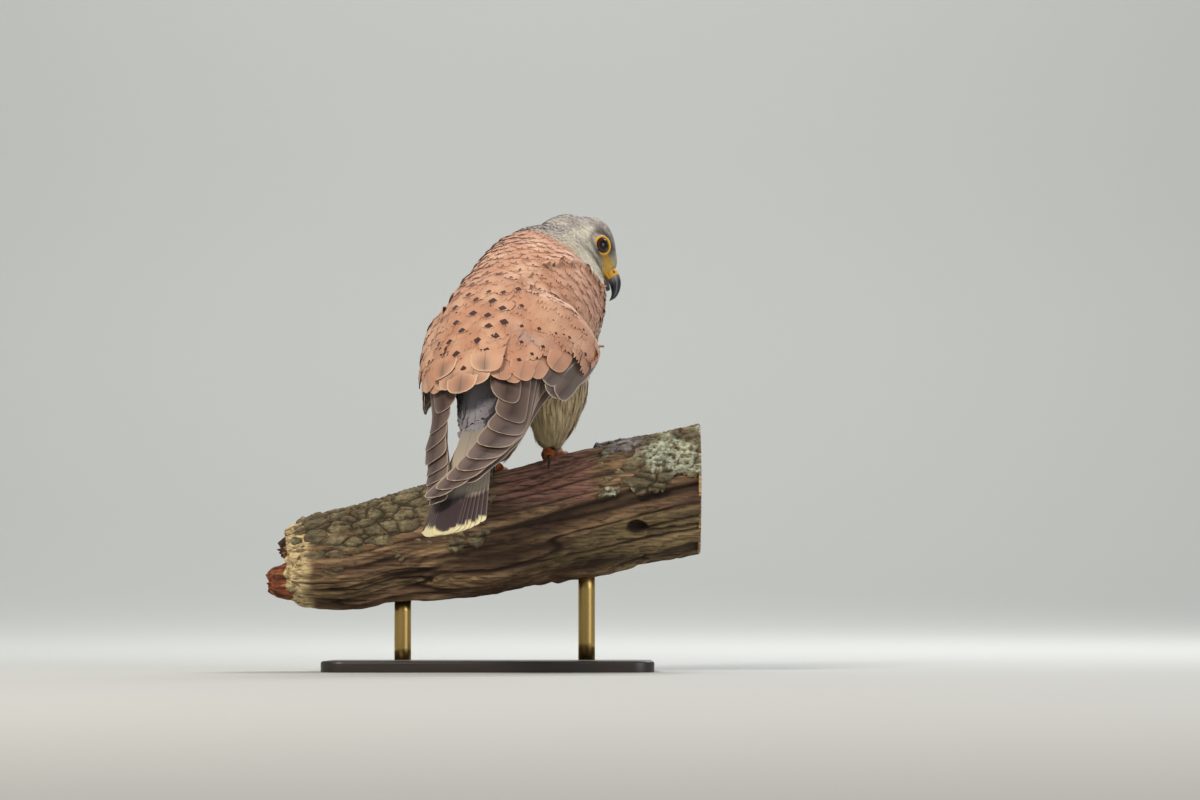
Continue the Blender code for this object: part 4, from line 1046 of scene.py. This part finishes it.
def solid(name, tubes, material, nodes, slot, closed=False, folded=False):
    """One piece from tubes of rings, each capped at both ends with a point in the middle, or
    closed on itself like a hoop. A folded ring goes out and comes back on its inside, and its
    caps join the two."""
    points, triangles, base = [], [], 0
    for rings in tubes:
        count, sides = rings.shape[:2]
        k, c = np.meshgrid(np.arange(count if closed else count - 1), np.arange(sides),
                           indexing="ij")
        a, b, n = k * sides, (k + 1) % count * sides, (c + 1) % sides
        triangles += [np.stack(q, axis=-1).reshape(-1, 3) + base
                      for q in ((a + c, a + n, b + n), (a + c, b + n, b + c))]
        points.append(rings.reshape(-1, 3))
        base += count * sides
        if folded:
            c = np.arange(sides // 2 - 1)
            for first in (base - count * sides, base - sides):
                back = first + sides - 2 - c
                triangles += [np.stack(q, axis=1) for q in (
                    (first + c, first + c + 1, back), (first + c, back, back + 1))]
        elif not closed:
            c = np.arange(sides)
            for first, hub in ((base - count * sides, base), (base - sides, base + 1)):
                triangles.append(np.stack([np.full(sides, hub), first + (c + 1) % sides,
                                           first + c], axis=1))
            points.append(np.stack([rings[0].mean(axis=0), rings[-1].mean(axis=0)]))
            base += 2
    made = shape(name, np.concatenate(points), np.concatenate(triangles), material, nodes, slot)
    mesh = bmesh.new()
    mesh.from_mesh(made.data)
    bmesh.ops.recalc_face_normals(mesh, faces=mesh.faces[:])
    mesh.to_mesh(made.data)
    mesh.free()
    return made


def places(made):
    """The mesh's own points, in millimetres."""
    return read(made.data.vertices, "co", 3) / MM


# Wet glass: a black pupil, a dark brown iris, and a sharp highlight
eye_material = tinted("wet_eye", Roughness=0.05, Specular_IOR_Level=0.3, Coat_Weight=0.15,
                      Coat_Roughness=0.02)[0]
# Bare waxy skin. Its wrinkles are finer than the render can show one by one, so they only mix
# the two yellows and dull the shine
ring_material, tree, sockets, tint = tinted("yellow_bare_skin", Roughness=0.42,
                                            Specular_IOR_Level=0.45, Subsurface_Weight=0.08)
wrinkle = add(tree, "TexNoise", {"Scale": 800.0, "Detail": 5.0})[0]
tree.links.new(add(tree, "Mix", {"data_type": "RGBA", 7: linear("#D08A14")},
                   {0: wrinkle, 6: tint})[2], sockets["Base Color"])
tree.links.new(add(tree, "Bump", {"Strength": 0.45, "Distance": 0.0003}, {"Height": wrinkle})
               ["Normal"], sockets["Normal"])

EYE_RADIUS, LID_SIDES, LID_STEPS = 6.6, 14, 96
for label, hand in (("left", -1), ("right", 1)):
    look = EYE_LOOK * (hand, 1, 1)
    centre = np.array((hand * EYE_OUT, 0.0, 0.0))
    across = unit(np.cross(look, (0, 0, 1)))
    rise = np.cross(across, look)
    turn = around(40)[:, None]
    rings = []
    for lat in np.linspace(0.02, math.pi - 0.02, 40):
        bulge = EYE_RADIUS + 0.45 * math.exp(-(lat / 0.55) ** 2)
        round_it = (across * np.cos(turn) + rise * np.sin(turn)) * bulge * math.sin(lat)
        rings.append(HEAD.out(centre + look * bulge * math.cos(lat) + round_it))
    eye = solid("eye_" + label + "_glass", [np.array(rings)], eye_material, ("eye_" + label,),
                "eye")
    out = (HEAD.into(places(eye)) - centre) @ look
    colour = plain("#070505", len(out))
    colour = blend(colour, "#3A2014", ease(6.15, 5.9, out) * ease(4.3, 4.9, out))
    paint(eye, "Tint", colour)
    hoop = []
    for t in around(LID_STEPS):
        way = across * math.cos(t) + rise * math.sin(t)
        a = around(LID_SIDES)[:, None]
        wave = 1 + 0.08 * np.sin(11 * t + 2 * a)
        hoop.append(HEAD.out(centre + look * 4.5 + way * 5.4 + way * 0.75 * wave * np.cos(a)
                             + look * 0.8 * wave * np.sin(a)))
    lid = solid("lid_" + label, [np.array(hoop)], ring_material, (), "yellow_skin", closed=True)
    paint(lid, "Tint", plain("#EDBE34", LID_STEPS * LID_SIDES))


# The bill: slate horn over bone, hooked, with a tooth behind the hook. At its base lies the
# cere, bare yellow skin with round nostrils, and yellow skin runs along the gape.

BILL_PATH = ((0, 14.5, -1.8), (0, 19.0, -1.1), (0, 23.2, -2.2), (0, 26.6, -4.9), (0, 29.0, -8.5),
             (0, 29.8, -12.6))
BILL_SIZE = ((5.6, 6.0), (5.0, 5.2), (4.1, 4.1), (3.0, 2.8), (1.8, 1.6), (0.3, 0.3))


def bill_rings(start, end, count, sides, grow=0.0):
    """Rings round the bill's curve, flatter below and with a ridge on top."""
    keys, at = np.arange(len(BILL_PATH)), np.linspace(start, end, count)
    ways = unit(smooth_through(keys, np.gradient(np.array(BILL_PATH, float), axis=0), at))
    turn = around(sides)
    rings = []
    for point, way, (high, wide) in zip(smooth_through(keys, BILL_PATH, at), ways,
                                        smooth_through(keys, BILL_SIZE, at) + grow):
        rise = np.cross((1, 0, 0), way)
        ridge = 1 + 0.06 * np.maximum(0, np.sin(turn)) ** 6
        ridge = np.where(np.sin(turn) < 0, 0.8, 1.0) * ridge
        rings.append(HEAD.out(point + np.outer(wide * np.cos(turn), (1, 0, 0))
                              + np.outer(high * ridge * np.sin(turn), rise)))
    return np.array(rings)


rings = bill_rings(0.0, 1.25, 40, 90)
local = HEAD.into(rings.reshape(-1, 3))
nostril = np.minimum(*(np.linalg.norm(local - (hand * 5.2, 17.9, 0.2), axis=1)
                       for hand in (-1, 1)))
local = local - np.sign(local) * (1, 0, 0) * (1.1 * ease(1.2, 0.7, nostril))[:, None]
cere = solid("cere_skin", [HEAD.out(local).reshape(rings.shape)], ring_material, ("cere",),
             "yellow_skin")
local = HEAD.into(places(cere))
colour = plain("#EFC13C", len(local))
colour = blend(colour, "#B9A24A", 0.5 * ease(0.5, 0.8, cloud(local, 2.0, 75)))
# The two points in the middle of the caps lie far from the nostrils
nostril = np.concatenate([nostril, (9.0, 9.0)])
# The nostrils are painted near black: painted shade in their openings, which the mesh only dents
paint(cere, "Tint", blend(colour, "#2A1C10", ease(1.15, 0.8, nostril)))
GAPE_PATH = ((4.6, 19.0, -5.2), (7.4, 15.0, -6.4), (9.5, 10.5, -7.8), (11.0, 6.0, -8.8))
at = np.linspace(0, 3, 24)
gape = [tube(HEAD.out(smooth_through(range(4), np.array(GAPE_PATH) * (hand, 1, 1), at)),
             np.interp(at, range(4), (0.8, 0.85, 0.8, 0.3)), 12) for hand in (-1, 1)]
gape = solid("gape_skin", gape, ring_material, (), "yellow_skin")
paint(gape, "Tint", plain("#E3B02C", len(gape.data.vertices)))

# Polished slate horn, paler where it grows out of the cere
horn_material = tinted("slate_bill_horn", Roughness=0.28, Specular_IOR_Level=0.5,
                       Coat_Weight=0.2, Coat_Roughness=0.15)[0]
upper = solid("bill_upper_horn", [bill_rings(1.2, 5.0, 60, 48, -0.12)], horn_material,
              ("bill_upper",), "bill_horn")
ahead = HEAD.into(places(upper))[:, 1]
colour = plain("#7E7C82", len(ahead))
paint(upper, "Tint", blend(colour, "#25252B", ease(19.5, 24.5, ahead)))
turn = around(40)[:, None]
at = np.linspace(0, 3, 20)
sizes = smooth_through(range(4), ((4.9, 2.9), (4.3, 2.7), (3.3, 2.2), (1.5, 0.9)), at)
path = smooth_through(range(4), ((0, 13.0, -7.2), (0, 17.5, -7.9), (0, 21.4, -8.3),
                                 (0, 24.6, -8.2)), at)
rings = [HEAD.out(point + np.hstack([wide * np.cos(turn), 0 * turn, high * np.sin(turn)]))
         for point, (wide, high) in zip(path, sizes)]
lower = solid("bill_lower_horn", [np.array(rings)], horn_material, ("bill_lower",), "bill_horn")
ahead = HEAD.into(places(lower))[:, 1]
colour = plain("#8C8578", len(ahead))
paint(lower, "Tint", blend(colour, "#3A3A42", ease(15, 20, ahead)))


# The feet: bare shanks and toes of orange-brown scales, with broad scutes over the toes and
# black claws of horn. Each grips the branch, three toes over its far side and one behind.

PERCH_KEYS = (-122, -114, -98, -80, -56, -28, 0, 34, 66, 96, 126)
PERCH_SIZES = ((71, 22, 22), (70, 26, 26), (70.3, 29.3, 29), (72.4, 32, 31), (79, 33, 32),
               (83.5, 36.5, 34), (87.4, 38.4, 35), (95, 38, 35.5), (102, 39, 36), (109, 38.7, 36),
               (115, 39, 36))


def perch_point(x, angle, height):
    """Places on the branch: along X, and round it from the top towards the far side."""
    x, angle, height = np.broadcast_arrays(np.asarray(x, float), angle, height)
    middle, high, deep = (v.reshape(x.shape)
                          for v in smooth_through(PERCH_KEYS, PERCH_SIZES, x.ravel()).T)
    rough = 1 + 0.022 * np.sin(3 * angle + 0.045 * x) + 0.014 * np.sin(7 * angle - 0.07 * x)
    return np.stack([x, (deep * rough + height) * np.sin(angle),
                     middle + (high * rough + height) * np.cos(angle)], axis=-1)


# Dry scaly skin, orange on each scale and brown towards its edge, in the grooves between them. The
# small scales are too fine to show one by one; the broad ones over the toes are in the mesh
foot_material, tree, sockets = finish("scaly_foot_skin", Roughness=0.5, Specular_IOR_Level=0.4)
scales = add(tree, "TexVoronoi", {"Scale": 850.0})["Distance"]
scales = add(tree, "Math", {"operation": "MULTIPLY", "use_clamp": True, 1: 1.3}, {0: scales})[0]
tree.links.new(add(tree, "Mix", {"data_type": "RGBA", 6: linear("#D07A2E"),
                                 7: linear("#7E3C18")}, {0: scales})[2], sockets["Base Color"])
tree.links.new(add(tree, "Bump", {"Strength": 0.6, "Distance": 0.0004, "invert": True},
                   {"Height": scales})["Normal"], sockets["Normal"])
# Black horn with a low polish
claw_material = finish("black_claw_horn", Roughness=0.22, Specular_IOR_Level=0.5,
                       Coat_Weight=0.3, Base_Color=linear("#1C1817"))[0]
LEGS = {"right": (35.0, 0.06, (35, 2, 139.0)), "left": (2.0, 0.36, (2.4, 13, 132.5))}
TOES = (("back", -0.35, -1, 17.0), ("inner", 0.95, 1, 21.0), ("middle", 0.42, 1, 27.0),
        ("outer", -0.30, 1, 22.0))
for label, (x, lean, ankle) in LEGS.items():
    sole, steps = perch_point(x, lean, 2.6), np.linspace(0, 1, 60)
    shank = (np.array(ankle) + (0, 0, 4)) * (1 - steps[:, None]) + sole * steps[:, None]
    radii = np.interp(steps, (0, 0.5, 0.85, 1), (4.0, 3.1, 3.6, 4.2)) + 0.16 * ((steps * 14) % 1.0)
    tubes = [tube(shank, radii, 24)]
    deep = smooth_through(PERCH_KEYS, PERCH_SIZES, x)[0][2]
    for toe, turn, way, reach in TOES:
        start_x = x + 3.0 * math.sin(turn) * way
        heading = 0.31 * way + math.sin(turn) * 0.8 * way
        t = np.linspace(0, 1, 70)
        angle = lean + way * math.cos(turn * 0.7) * reach * t / deep
        path = perch_point(start_x + heading * reach * t * 0.55, angle, 2.2)
        knuckle = 0.35 * np.cos(6 * math.pi * t) + 0.2 * ((t * reach / 1.7) % 1.0)
        radius = 2.9 * (1.08 - 0.25 * t) + knuckle
        radius[-1] *= 0.6
        tubes.append(tube(path, radius, 24))
        ahead = unit(path[-1] - path[-4])
        out = unit(perch_point(start_x + heading * reach * 0.55, angle[-1], 6.0) - path[-1])
        s = np.linspace(0, 1, 24)[:, None]
        lift = 1.1 * np.sin(math.pi * np.minimum(1.0, s * 1.15)) - 1.2 * s
        bend = path[-1] + ahead * (11.0 * s - 1.0) + out * lift
        bend = bend + np.array((0.0, 0.0, -2.2)) * s * s
        claw_radii = np.interp(s[:, 0], (0, 0.33, 0.67, 1), (1.65, 1.35, 0.85, 0.12))
        solid(f"claw_{label}_{toe}", [tube(bend, claw_radii, 16)], claw_material,
              (f"foot_{label}_claw_{toe}",), "claw_horn")
    solid("foot_" + label + "_scales", tubes, foot_material, ("foot_" + label,), "foot_skin")


# The perch's wood: a dead limb that has split along its grain and weathered, with deep
# checks, long slabs, a worm-eaten hole, and a pale new break at its left end round a stub of
# red heartwood and a dark knot. Its right end is sawn.


def along_grain(x, angle, stretch, grain, seed):
    """Soft values from 0 to 1 in long streaks, without a seam round the branch."""
    at = np.stack([x / stretch, 22 * np.sin(angle), 22 * np.cos(angle)], axis=-1)
    return cloud(at, grain, seed)


# Weathered fibres with dark lines between them, 1.5 mm wide and 18 mm long, rough and without
# gloss
wood_material, tree, sockets, tint = tinted("weathered_split_wood", Roughness=0.88,
                                            Specular_IOR_Level=0.2)
spot = add(tree, "TexCoord")["Object"]
spot = add(tree, "Mapping", {"Scale": (55.0, 650.0, 650.0)}, {0: spot})[0]
fibre = add(tree, "TexNoise", {"Scale": 1.0, "Detail": 8.0, "Roughness": 0.65}, {0: spot})[0]
dark = add(tree, "Math", {"operation": "MULTIPLY_ADD", "use_clamp": True, 1: 4.0, 2: -1.35},
           {0: fibre})[0]
tree.links.new(add(tree, "Mix", {"data_type": "RGBA", 6: linear("#3A2D24")},
                   {0: dark, 7: tint})[2], sockets["Base Color"])
tree.links.new(add(tree, "Bump", {"Strength": 0.6, "Distance": 0.0008}, {"Height": fibre})
               ["Normal"], sockets["Normal"])

x, angle = np.meshgrid(np.linspace(-121.5, 125.5, 330),
                       around(260), indexing="ij")
slabs = along_grain(x, angle, 9.0, 7.0, 81) * 6.0
ledge = np.floor(slabs) + ease(0.55, 1.0, slabs - np.floor(slabs))
height = 1.1 * (ledge - 3.0) + 1.5 * (along_grain(x, angle, 12.0, 1.6, 82) - 0.5)
height = height + 0.8 * (along_grain(x, angle, 6.0, 0.8, 86) - 0.5)
check = np.exp(-((along_grain(x, angle, 16.0, 4.0, 83) - 0.5) / 0.045) ** 2)
flat = perch_point(x, angle, 0.0)
hole = ease(1.0, 0.5, np.hypot((flat[..., 0] - 88) / 7.5, (flat[..., 2] - 90) / 5.5))
hole = hole * (flat[..., 1] < 0)
under = ease(0.2, -0.9, np.cos(angle)) * ease(0, 40, x)
height = np.clip(height - 1.2 - 1.8 * check - 4.5 * hole
                 + 2.2 * under * (along_grain(x, angle, 2.0, 3.0, 87) - 0.5), -7.0, 1.6)
points = perch_point(x, angle, height)
points[..., 0] += ease(-108, -121, x) * 7.0 * (cloud(flat, 3.0, 88) - 0.35)
wood = solid("perch_wood_grain", [points], wood_material, ("perch_wood",), "weathered_wood")
flat = points.reshape(-1, 3)
x, y, z = flat.T
grain = along_grain(x, angle.ravel(), 14.0, 2.2, 84)
wide = along_grain(x, angle.ravel(), 10.0, 9.0, 85)
colour = plain("#7A6149", len(flat))
colour = blend(colour, "#A98A66", ease(0.45, 0.9, grain))
colour = blend(colour, "#5C4736", ease(0.5, 0.15, grain))
colour = blend(colour, "#77704A", 0.45 * ease(0.5, 0.7, wide))
near = ease(4, -8, y)
worn = near * ease(2, 10, x) * ease(66, 56, x) * ease(100, 110, z)
colour = blend(colour, "#9C7263", 0.85 * worn)
pale = ease(1.0, 0.7, np.hypot((x + 69) / 22, (z - 57 - 0.05 * (x + 69)) / 6.0))
colour = blend(colour, "#C7A57C", 0.8 * near * pale)
colour = blend(colour, "#E0C896", 0.9 * ease(-103, -109, x + 5 * (grain - 0.5)))
# Painted shade: the checks and the low hollows between slabs are darkened, and the worm hole near
# black, as shadow lies in them
colour = blend(colour, "#211813", 0.9 * check.ravel())
colour = blend(colour, "#2A1F19", 0.7 * ease(-1.5, -4.5, height.ravel()))
colour = blend(colour, "#17100C", 0.95 * hole.ravel())
paint(wood, "Tint", np.concatenate([colour, plain("#D6B98A", 2)]))
for name, path, radii, code in (
        ("perch_red_stub", ((-104, -3, 62), (-118, -4, 60), (-128, -5, 58.5), (-132.5, -5, 58)),
         (11, 10.5, 9, 5.5), "#8E4E34"),
        ("perch_dark_knot", ((-104, 2, 80), (-114, 2.5, 79.5), (-120, 3, 79), (-126, 4, 78)),
         (10, 9.5, 8, 4.5), "#43352A")):
    steps = np.linspace(0, 3, 70)
    rings = tube(smooth_through(range(4), path, steps), np.interp(steps, range(4), radii), 90)
    middle = rings.mean(axis=1, keepdims=True)
    turn = around(90)
    splinter = np.stack([rings[..., 0] / 5, 12 * np.cos(turn) + 0 * rings[..., 0],
                         12 * np.sin(turn) + 0 * rings[..., 0]], axis=-1)
    rings = middle + (rings - middle) * (0.72 + 0.5 * cloud(splinter, 2.4, 97))[..., None]
    rings[..., 0] += ease(1.6, 3.0, steps)[:, None] * (5.0 * cloud(splinter[-1:], 2.0, 98) - 1.5)
    piece = solid(name, [rings], wood_material, (), "weathered_wood")
    flat = places(piece)
    colour = plain(code, len(flat))
    colour = blend(colour, "#C99A6C", 0.7 * ease(0.55, 0.85, cloud(flat / (4, 1, 1), 1.6, 99)))
    dark_line = ease(0.4, 0.2, cloud(flat / (5, 1, 1), 1.8, 96))
    paint(piece, "Tint", blend(colour, "#2A1A12", 0.8 * dark_line))
SAWN_END, SAWN_SIDES = 126.0, 120
steps = np.append(np.linspace(0.02, 1, 90), 1.0)
turn = around(SAWN_SIDES)
face = perch_point(SAWN_END, turn, -0.9)
rings = face.mean(axis=0) + (face - face.mean(axis=0)) * steps[:, None, None]
rings[-1, :, 0] -= 1.5
sawn = solid("perch_sawn_end", [rings], wood_material, (), "weathered_wood")
flat = places(sawn)
far = np.concatenate([np.repeat(steps, SAWN_SIDES), (0.0, 1.0)])
wave = np.sin(far * 90 + 5 * cloud(flat, 12.0, 89))
colour = plain("#C9A97C", len(flat))
colour = blend(colour, "#8E6C48", 0.5 * ease(0.2, 1.0, wave))
paint(sawn, "Tint", blend(colour, "#8A5A40", 0.7 * ease(0.45, 0.15, far)))


# The bark: olive-brown plates 4 mm thick, furrowed in scales of about a centimetre, which
# cling to the top and the near side and break off in a ragged edge. Lichen grows on the right.


def scales_of(points, size, seed):
    """How far each place is inside its own scale: none in the furrows between them."""
    table = np.random.default_rng(seed).random((16, 16, 16, 3))
    p = points / size + 500.0
    home = np.floor(p).astype(int)
    near, far = np.full(p.shape[:-1], 9.0), np.full(p.shape[:-1], 9.0)
    for step in itertools.product((-1, 0, 1), repeat=3):
        c = home + step
        seat = c + table[c[..., 0] % 16, c[..., 1] % 16, c[..., 2] % 16]
        gap = np.linalg.norm(seat - p, axis=-1)
        far = np.minimum(far, np.maximum(near, gap))
        near = np.minimum(near, gap)
    return far - near


# Corky and dusty, in crumbs of 2 to 4 mm, with no gloss at all
bark_material, tree, sockets, tint = tinted("olive_bark", Roughness=0.95,
                                            Specular_IOR_Level=0.15)
spot = add(tree, "TexCoord")["Object"]
spot = add(tree, "Mapping", {"Scale": (260.0, 600.0, 600.0)}, {0: spot})[0]
scurf = add(tree, "TexNoise", {"Scale": 1.0, "Detail": 9.0, "Roughness": 0.7}, {0: spot})[0]
dark = add(tree, "Math", {"operation": "MULTIPLY_ADD", "use_clamp": True, 1: 3.5, 2: -1.1},
           {0: scurf})[0]
tree.links.new(add(tree, "Mix", {"data_type": "RGBA", 6: linear("#3B3429")},
                   {0: dark, 7: tint})[2], sockets["Base Color"])
tree.links.new(add(tree, "Bump", {"Strength": 0.7, "Distance": 0.0010}, {"Height": scurf})
               ["Normal"], sockets["Normal"])
for label, x_from, x_to, near, far, wave in (("left", -119.0, 4.0, -1.75, 2.2, 0.4),
                                             ("right", 64.0, SAWN_END, -1.45, 2.0, 2.0)):
    steps = np.linspace(0, 1, int((x_to - x_from) * 1.9))
    turn = np.linspace(0, 1, 190)
    end_line = np.stack([0 * turn + wave, 26 * turn, 0 * turn], axis=1)
    rough = cloud(end_line, 2.0, 90)
    rough = rough + 0.5 * cloud(end_line, 0.7, 91) - 0.5
    last = x_to - (9.0 if label == "left" else 0.0) * rough
    x = (x_from + 7.0 * rough)[None, :] * (1 - steps[:, None]) + last[None, :] * steps[:, None]
    along = x_from + (x_to - x_from) * steps
    torn = np.stack([along, 0 * along + wave, 0 * along], axis=1)
    low = (near + 0.09 * np.sin(0.16 * along + wave) + 0.05 * np.sin(0.41 * along)
           + 0.16 * (cloud(torn, 4.0, 92) - 0.5) + 0.09 * (cloud(torn, 1.3, 93) - 0.5))
    angle = low[:, None] + (far - low)[:, None] * turn[None, :]
    at = perch_point(x, angle, 0.0)
    plates = scales_of(at / (2.1, 1, 1), 6.5, 94)
    edge = np.minimum(np.minimum(turn, 1 - turn)[None, :] * 130,
                      np.minimum(steps, 1 - steps)[:, None] * 120)
    height = (1.9 * ease(0.02, 0.22, plates) - 1.1 + 1.3 * (cloud(at, 3.0, 95) - 0.5)
              + 0.7 * (cloud(at, 1.2, 96) - 0.5) - 1.2 * ease(2.0, 0.0, edge))
    outer = perch_point(x, angle, height)
    inner = perch_point(x, angle, -3.4)[:, ::-1]
    plate = solid("perch_bark_" + label + "_plate", [np.concatenate([outer, inner], axis=1)],
                  bark_material, ("perch_bark_" + label,), "bark", folded=True)
    inside = np.concatenate([plates, 0 * plates + 0.3], axis=1).ravel()
    flat = places(plate)
    lump, small = cloud(flat, 7.0, 97), cloud(flat, 2.0, 98)
    colour = plain("#6F6750", len(flat))
    colour = blend(colour, "#948A6B", ease(0.35, 0.8, lump))
    colour = blend(colour, "#7C6149", 0.6 * ease(0.55, 0.85, small))
    # Painted shade: dark in the sunken furrows between the scales
    colour = blend(colour, "#2A241C", 0.85 * ease(0.14, 0.03, inside))
    green = ease(1.0, 0.6, np.hypot((flat[:, 0] - 108) / 20, (flat[:, 2] - 134) / 13))
    green = green * (flat[:, 1] < 5)
    green = np.maximum(green, ease(0.66, 0.78, lump) * ease(20, 90, flat[:, 0]))
    colour = blend(colour, "#C3CBB2", 0.95 * green * ease(0.36, 0.52, small))
    mauve = ease(56, 66, flat[:, 0]) * ease(96, 84, flat[:, 0]) * ease(133, 138, flat[:, 2])
    paint(plate, "Tint", blend(colour, "#B0ABB8", 0.8 * mauve * ease(0.4, 0.6, small)))


# The stand, which only holds the branch: a flat base of black-stained wood with eased edges,
# screwed from below to two short brass rods.

# Satin lacquer over stained wood, whose grain still shows in lines 2.4 mm wide
base_material, tree, sockets = finish("black_stained_wood", Roughness=0.4, Specular_IOR_Level=0.45,
                                      Coat_Weight=0.2, Coat_Roughness=0.25)
spot = add(tree, "TexCoord")["Object"]
spot = add(tree, "Mapping", {"Scale": (25.0, 420.0, 420.0)}, {0: spot})[0]
fibre = add(tree, "TexNoise", {"Scale": 1.0, "Detail": 6.0}, {0: spot})[0]
tree.links.new(add(tree, "Mix", {"data_type": "RGBA", 6: linear("#1B1714"),
                                 7: linear("#352C26")}, {0: fibre})[2], sockets["Base Color"])
tree.links.new(add(tree, "Bump", {"Strength": 0.2, "Distance": 0.0002}, {"Height": fibre})
               ["Normal"], sockets["Normal"])
low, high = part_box("stand_base")
mesh = bmesh.new()
bmesh.ops.create_cube(mesh, size=1.0)
bmesh.ops.scale(mesh, vec=high - low, verts=mesh.verts)
bmesh.ops.translate(mesh, vec=(low + high) / 2, verts=mesh.verts)
upright = [e for e in mesh.edges if abs((e.verts[0].co - e.verts[1].co).z) > 0.01]
bmesh.ops.bevel(mesh, geom=upright, offset=14 * MM, segments=12, profile=0.5, affect="EDGES")
sharp = [e for e in mesh.edges if len(e.link_faces) == 2 and e.calc_face_angle() > 1.0]
bmesh.ops.bevel(mesh, geom=sharp, offset=1.5 * MM, segments=4, profile=0.5, affect="EDGES")
data = bpy.data.meshes.new("stand_base_board")
mesh.to_mesh(data)
mesh.free()
data.shade_smooth()
data.set_sharp_from_angle(angle=0.6)
data.materials.append(base_material)
board = put("stand_base_board", data)
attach(board, "root")
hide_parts("stand_base")
# Brushed brass: warm, with soft highlights
rod_material = finish("brushed_brass", Metallic=1.0, Roughness=0.3,
                      Base_Color=linear("#B79A5E"))[0]
for label, x in (("left", -52.0), ("right", 58.0)):
    low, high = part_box("stand_rod_" + label)
    path = [(x, 0, z) for z in np.linspace(low[2] / MM, high[2] / MM + 2, 6)]
    solid("stand_rod_" + label + "_brass", [tube(path, (5.0,) * 6, 48)], rod_material,
          ("stand_rod_" + label,), "stand_metal")


# The studio: a pale sweep, one large soft light from the upper left, a weaker one from the
# right, one behind and one on the sweep. The camera has the photograph's view, level with the
# branch and a little upward, from 2.6 m.

floor_material = finish("studio_sweep", Roughness=0.9, Specular_IOR_Level=0.1,
                        Base_Color=linear("#B4B6B4"))[0]
mesh = bmesh.new()
line = [(-4.0, 0.0), (2.2, 0.0), (3.0, 0.10), (3.5, 0.40), (3.7, 0.9), (3.7, 4.2)]
columns = [[mesh.verts.new((x, y, z)) for y, z in line] for x in (-5.0, 5.0)]
for k in range(len(line) - 1):
    mesh.faces.new((columns[0][k], columns[1][k], columns[1][k + 1], columns[0][k + 1]))
data = bpy.data.meshes.new("sweep")
mesh.to_mesh(data)
mesh.free()
data.shade_smooth()
data.materials.append(floor_material)
sweep = put("sweep", data)
bend = sweep.modifiers.new("bend", "SUBSURF")
bend.levels = 3
bend.render_levels = 3

for name, spot, aim, size, watts, code in (
        ("key", (-0.9, -1.5, 1.5), (0.02, 0, 0.2), 0.8, 36, "#FFF4E6"),
        ("fill", (1.4, -1.2, 0.7), (0.02, 0, 0.2), 1.4, 12, "#F4F4FF"),
        ("rim", (0.6, 1.1, 1.4), (0.02, 0, 0.2), 0.9, 22, "#FFFFFF"),
        ("wash", (0.0, 1.6, 2.8), (0.0, 3.7, 0.6), 2.0, 75, "#FFFFFF")):
    data = bpy.data.lights.new(name, "AREA")
    data.shape = "DISK"
    data.size = size
    data.energy = watts
    data.color = linear(code)[:3]
    lamp = put(name, data)
    lamp.location = spot
    lamp.rotation_euler = (Vector(aim) - lamp.location).to_track_quat("-Z", "Y").to_euler()
world = bpy.data.worlds.new("studio")
world.use_nodes = True
world.node_tree.nodes["Background"].inputs["Color"].default_value = linear("#D8D8D4")
world.node_tree.nodes["Background"].inputs["Strength"].default_value = 0.42
bpy.context.scene.world = world

camera = bpy.data.cameras.new("camera")
camera.lens = 130
camera.sensor_width = 36
camera.clip_end = 50
viewer = put("camera", camera)
target = Vector((0.066, 0.0, 0.168))
upward, distance = math.radians(3), 2.6
viewer.location = target - Vector((0, math.cos(upward), math.sin(upward))) * distance
viewer.rotation_euler = (target - viewer.location).to_track_quat("-Z", "Y").to_euler()
bpy.context.scene.camera = viewer
bpy.context.scene.view_settings.view_transform = "Standard"
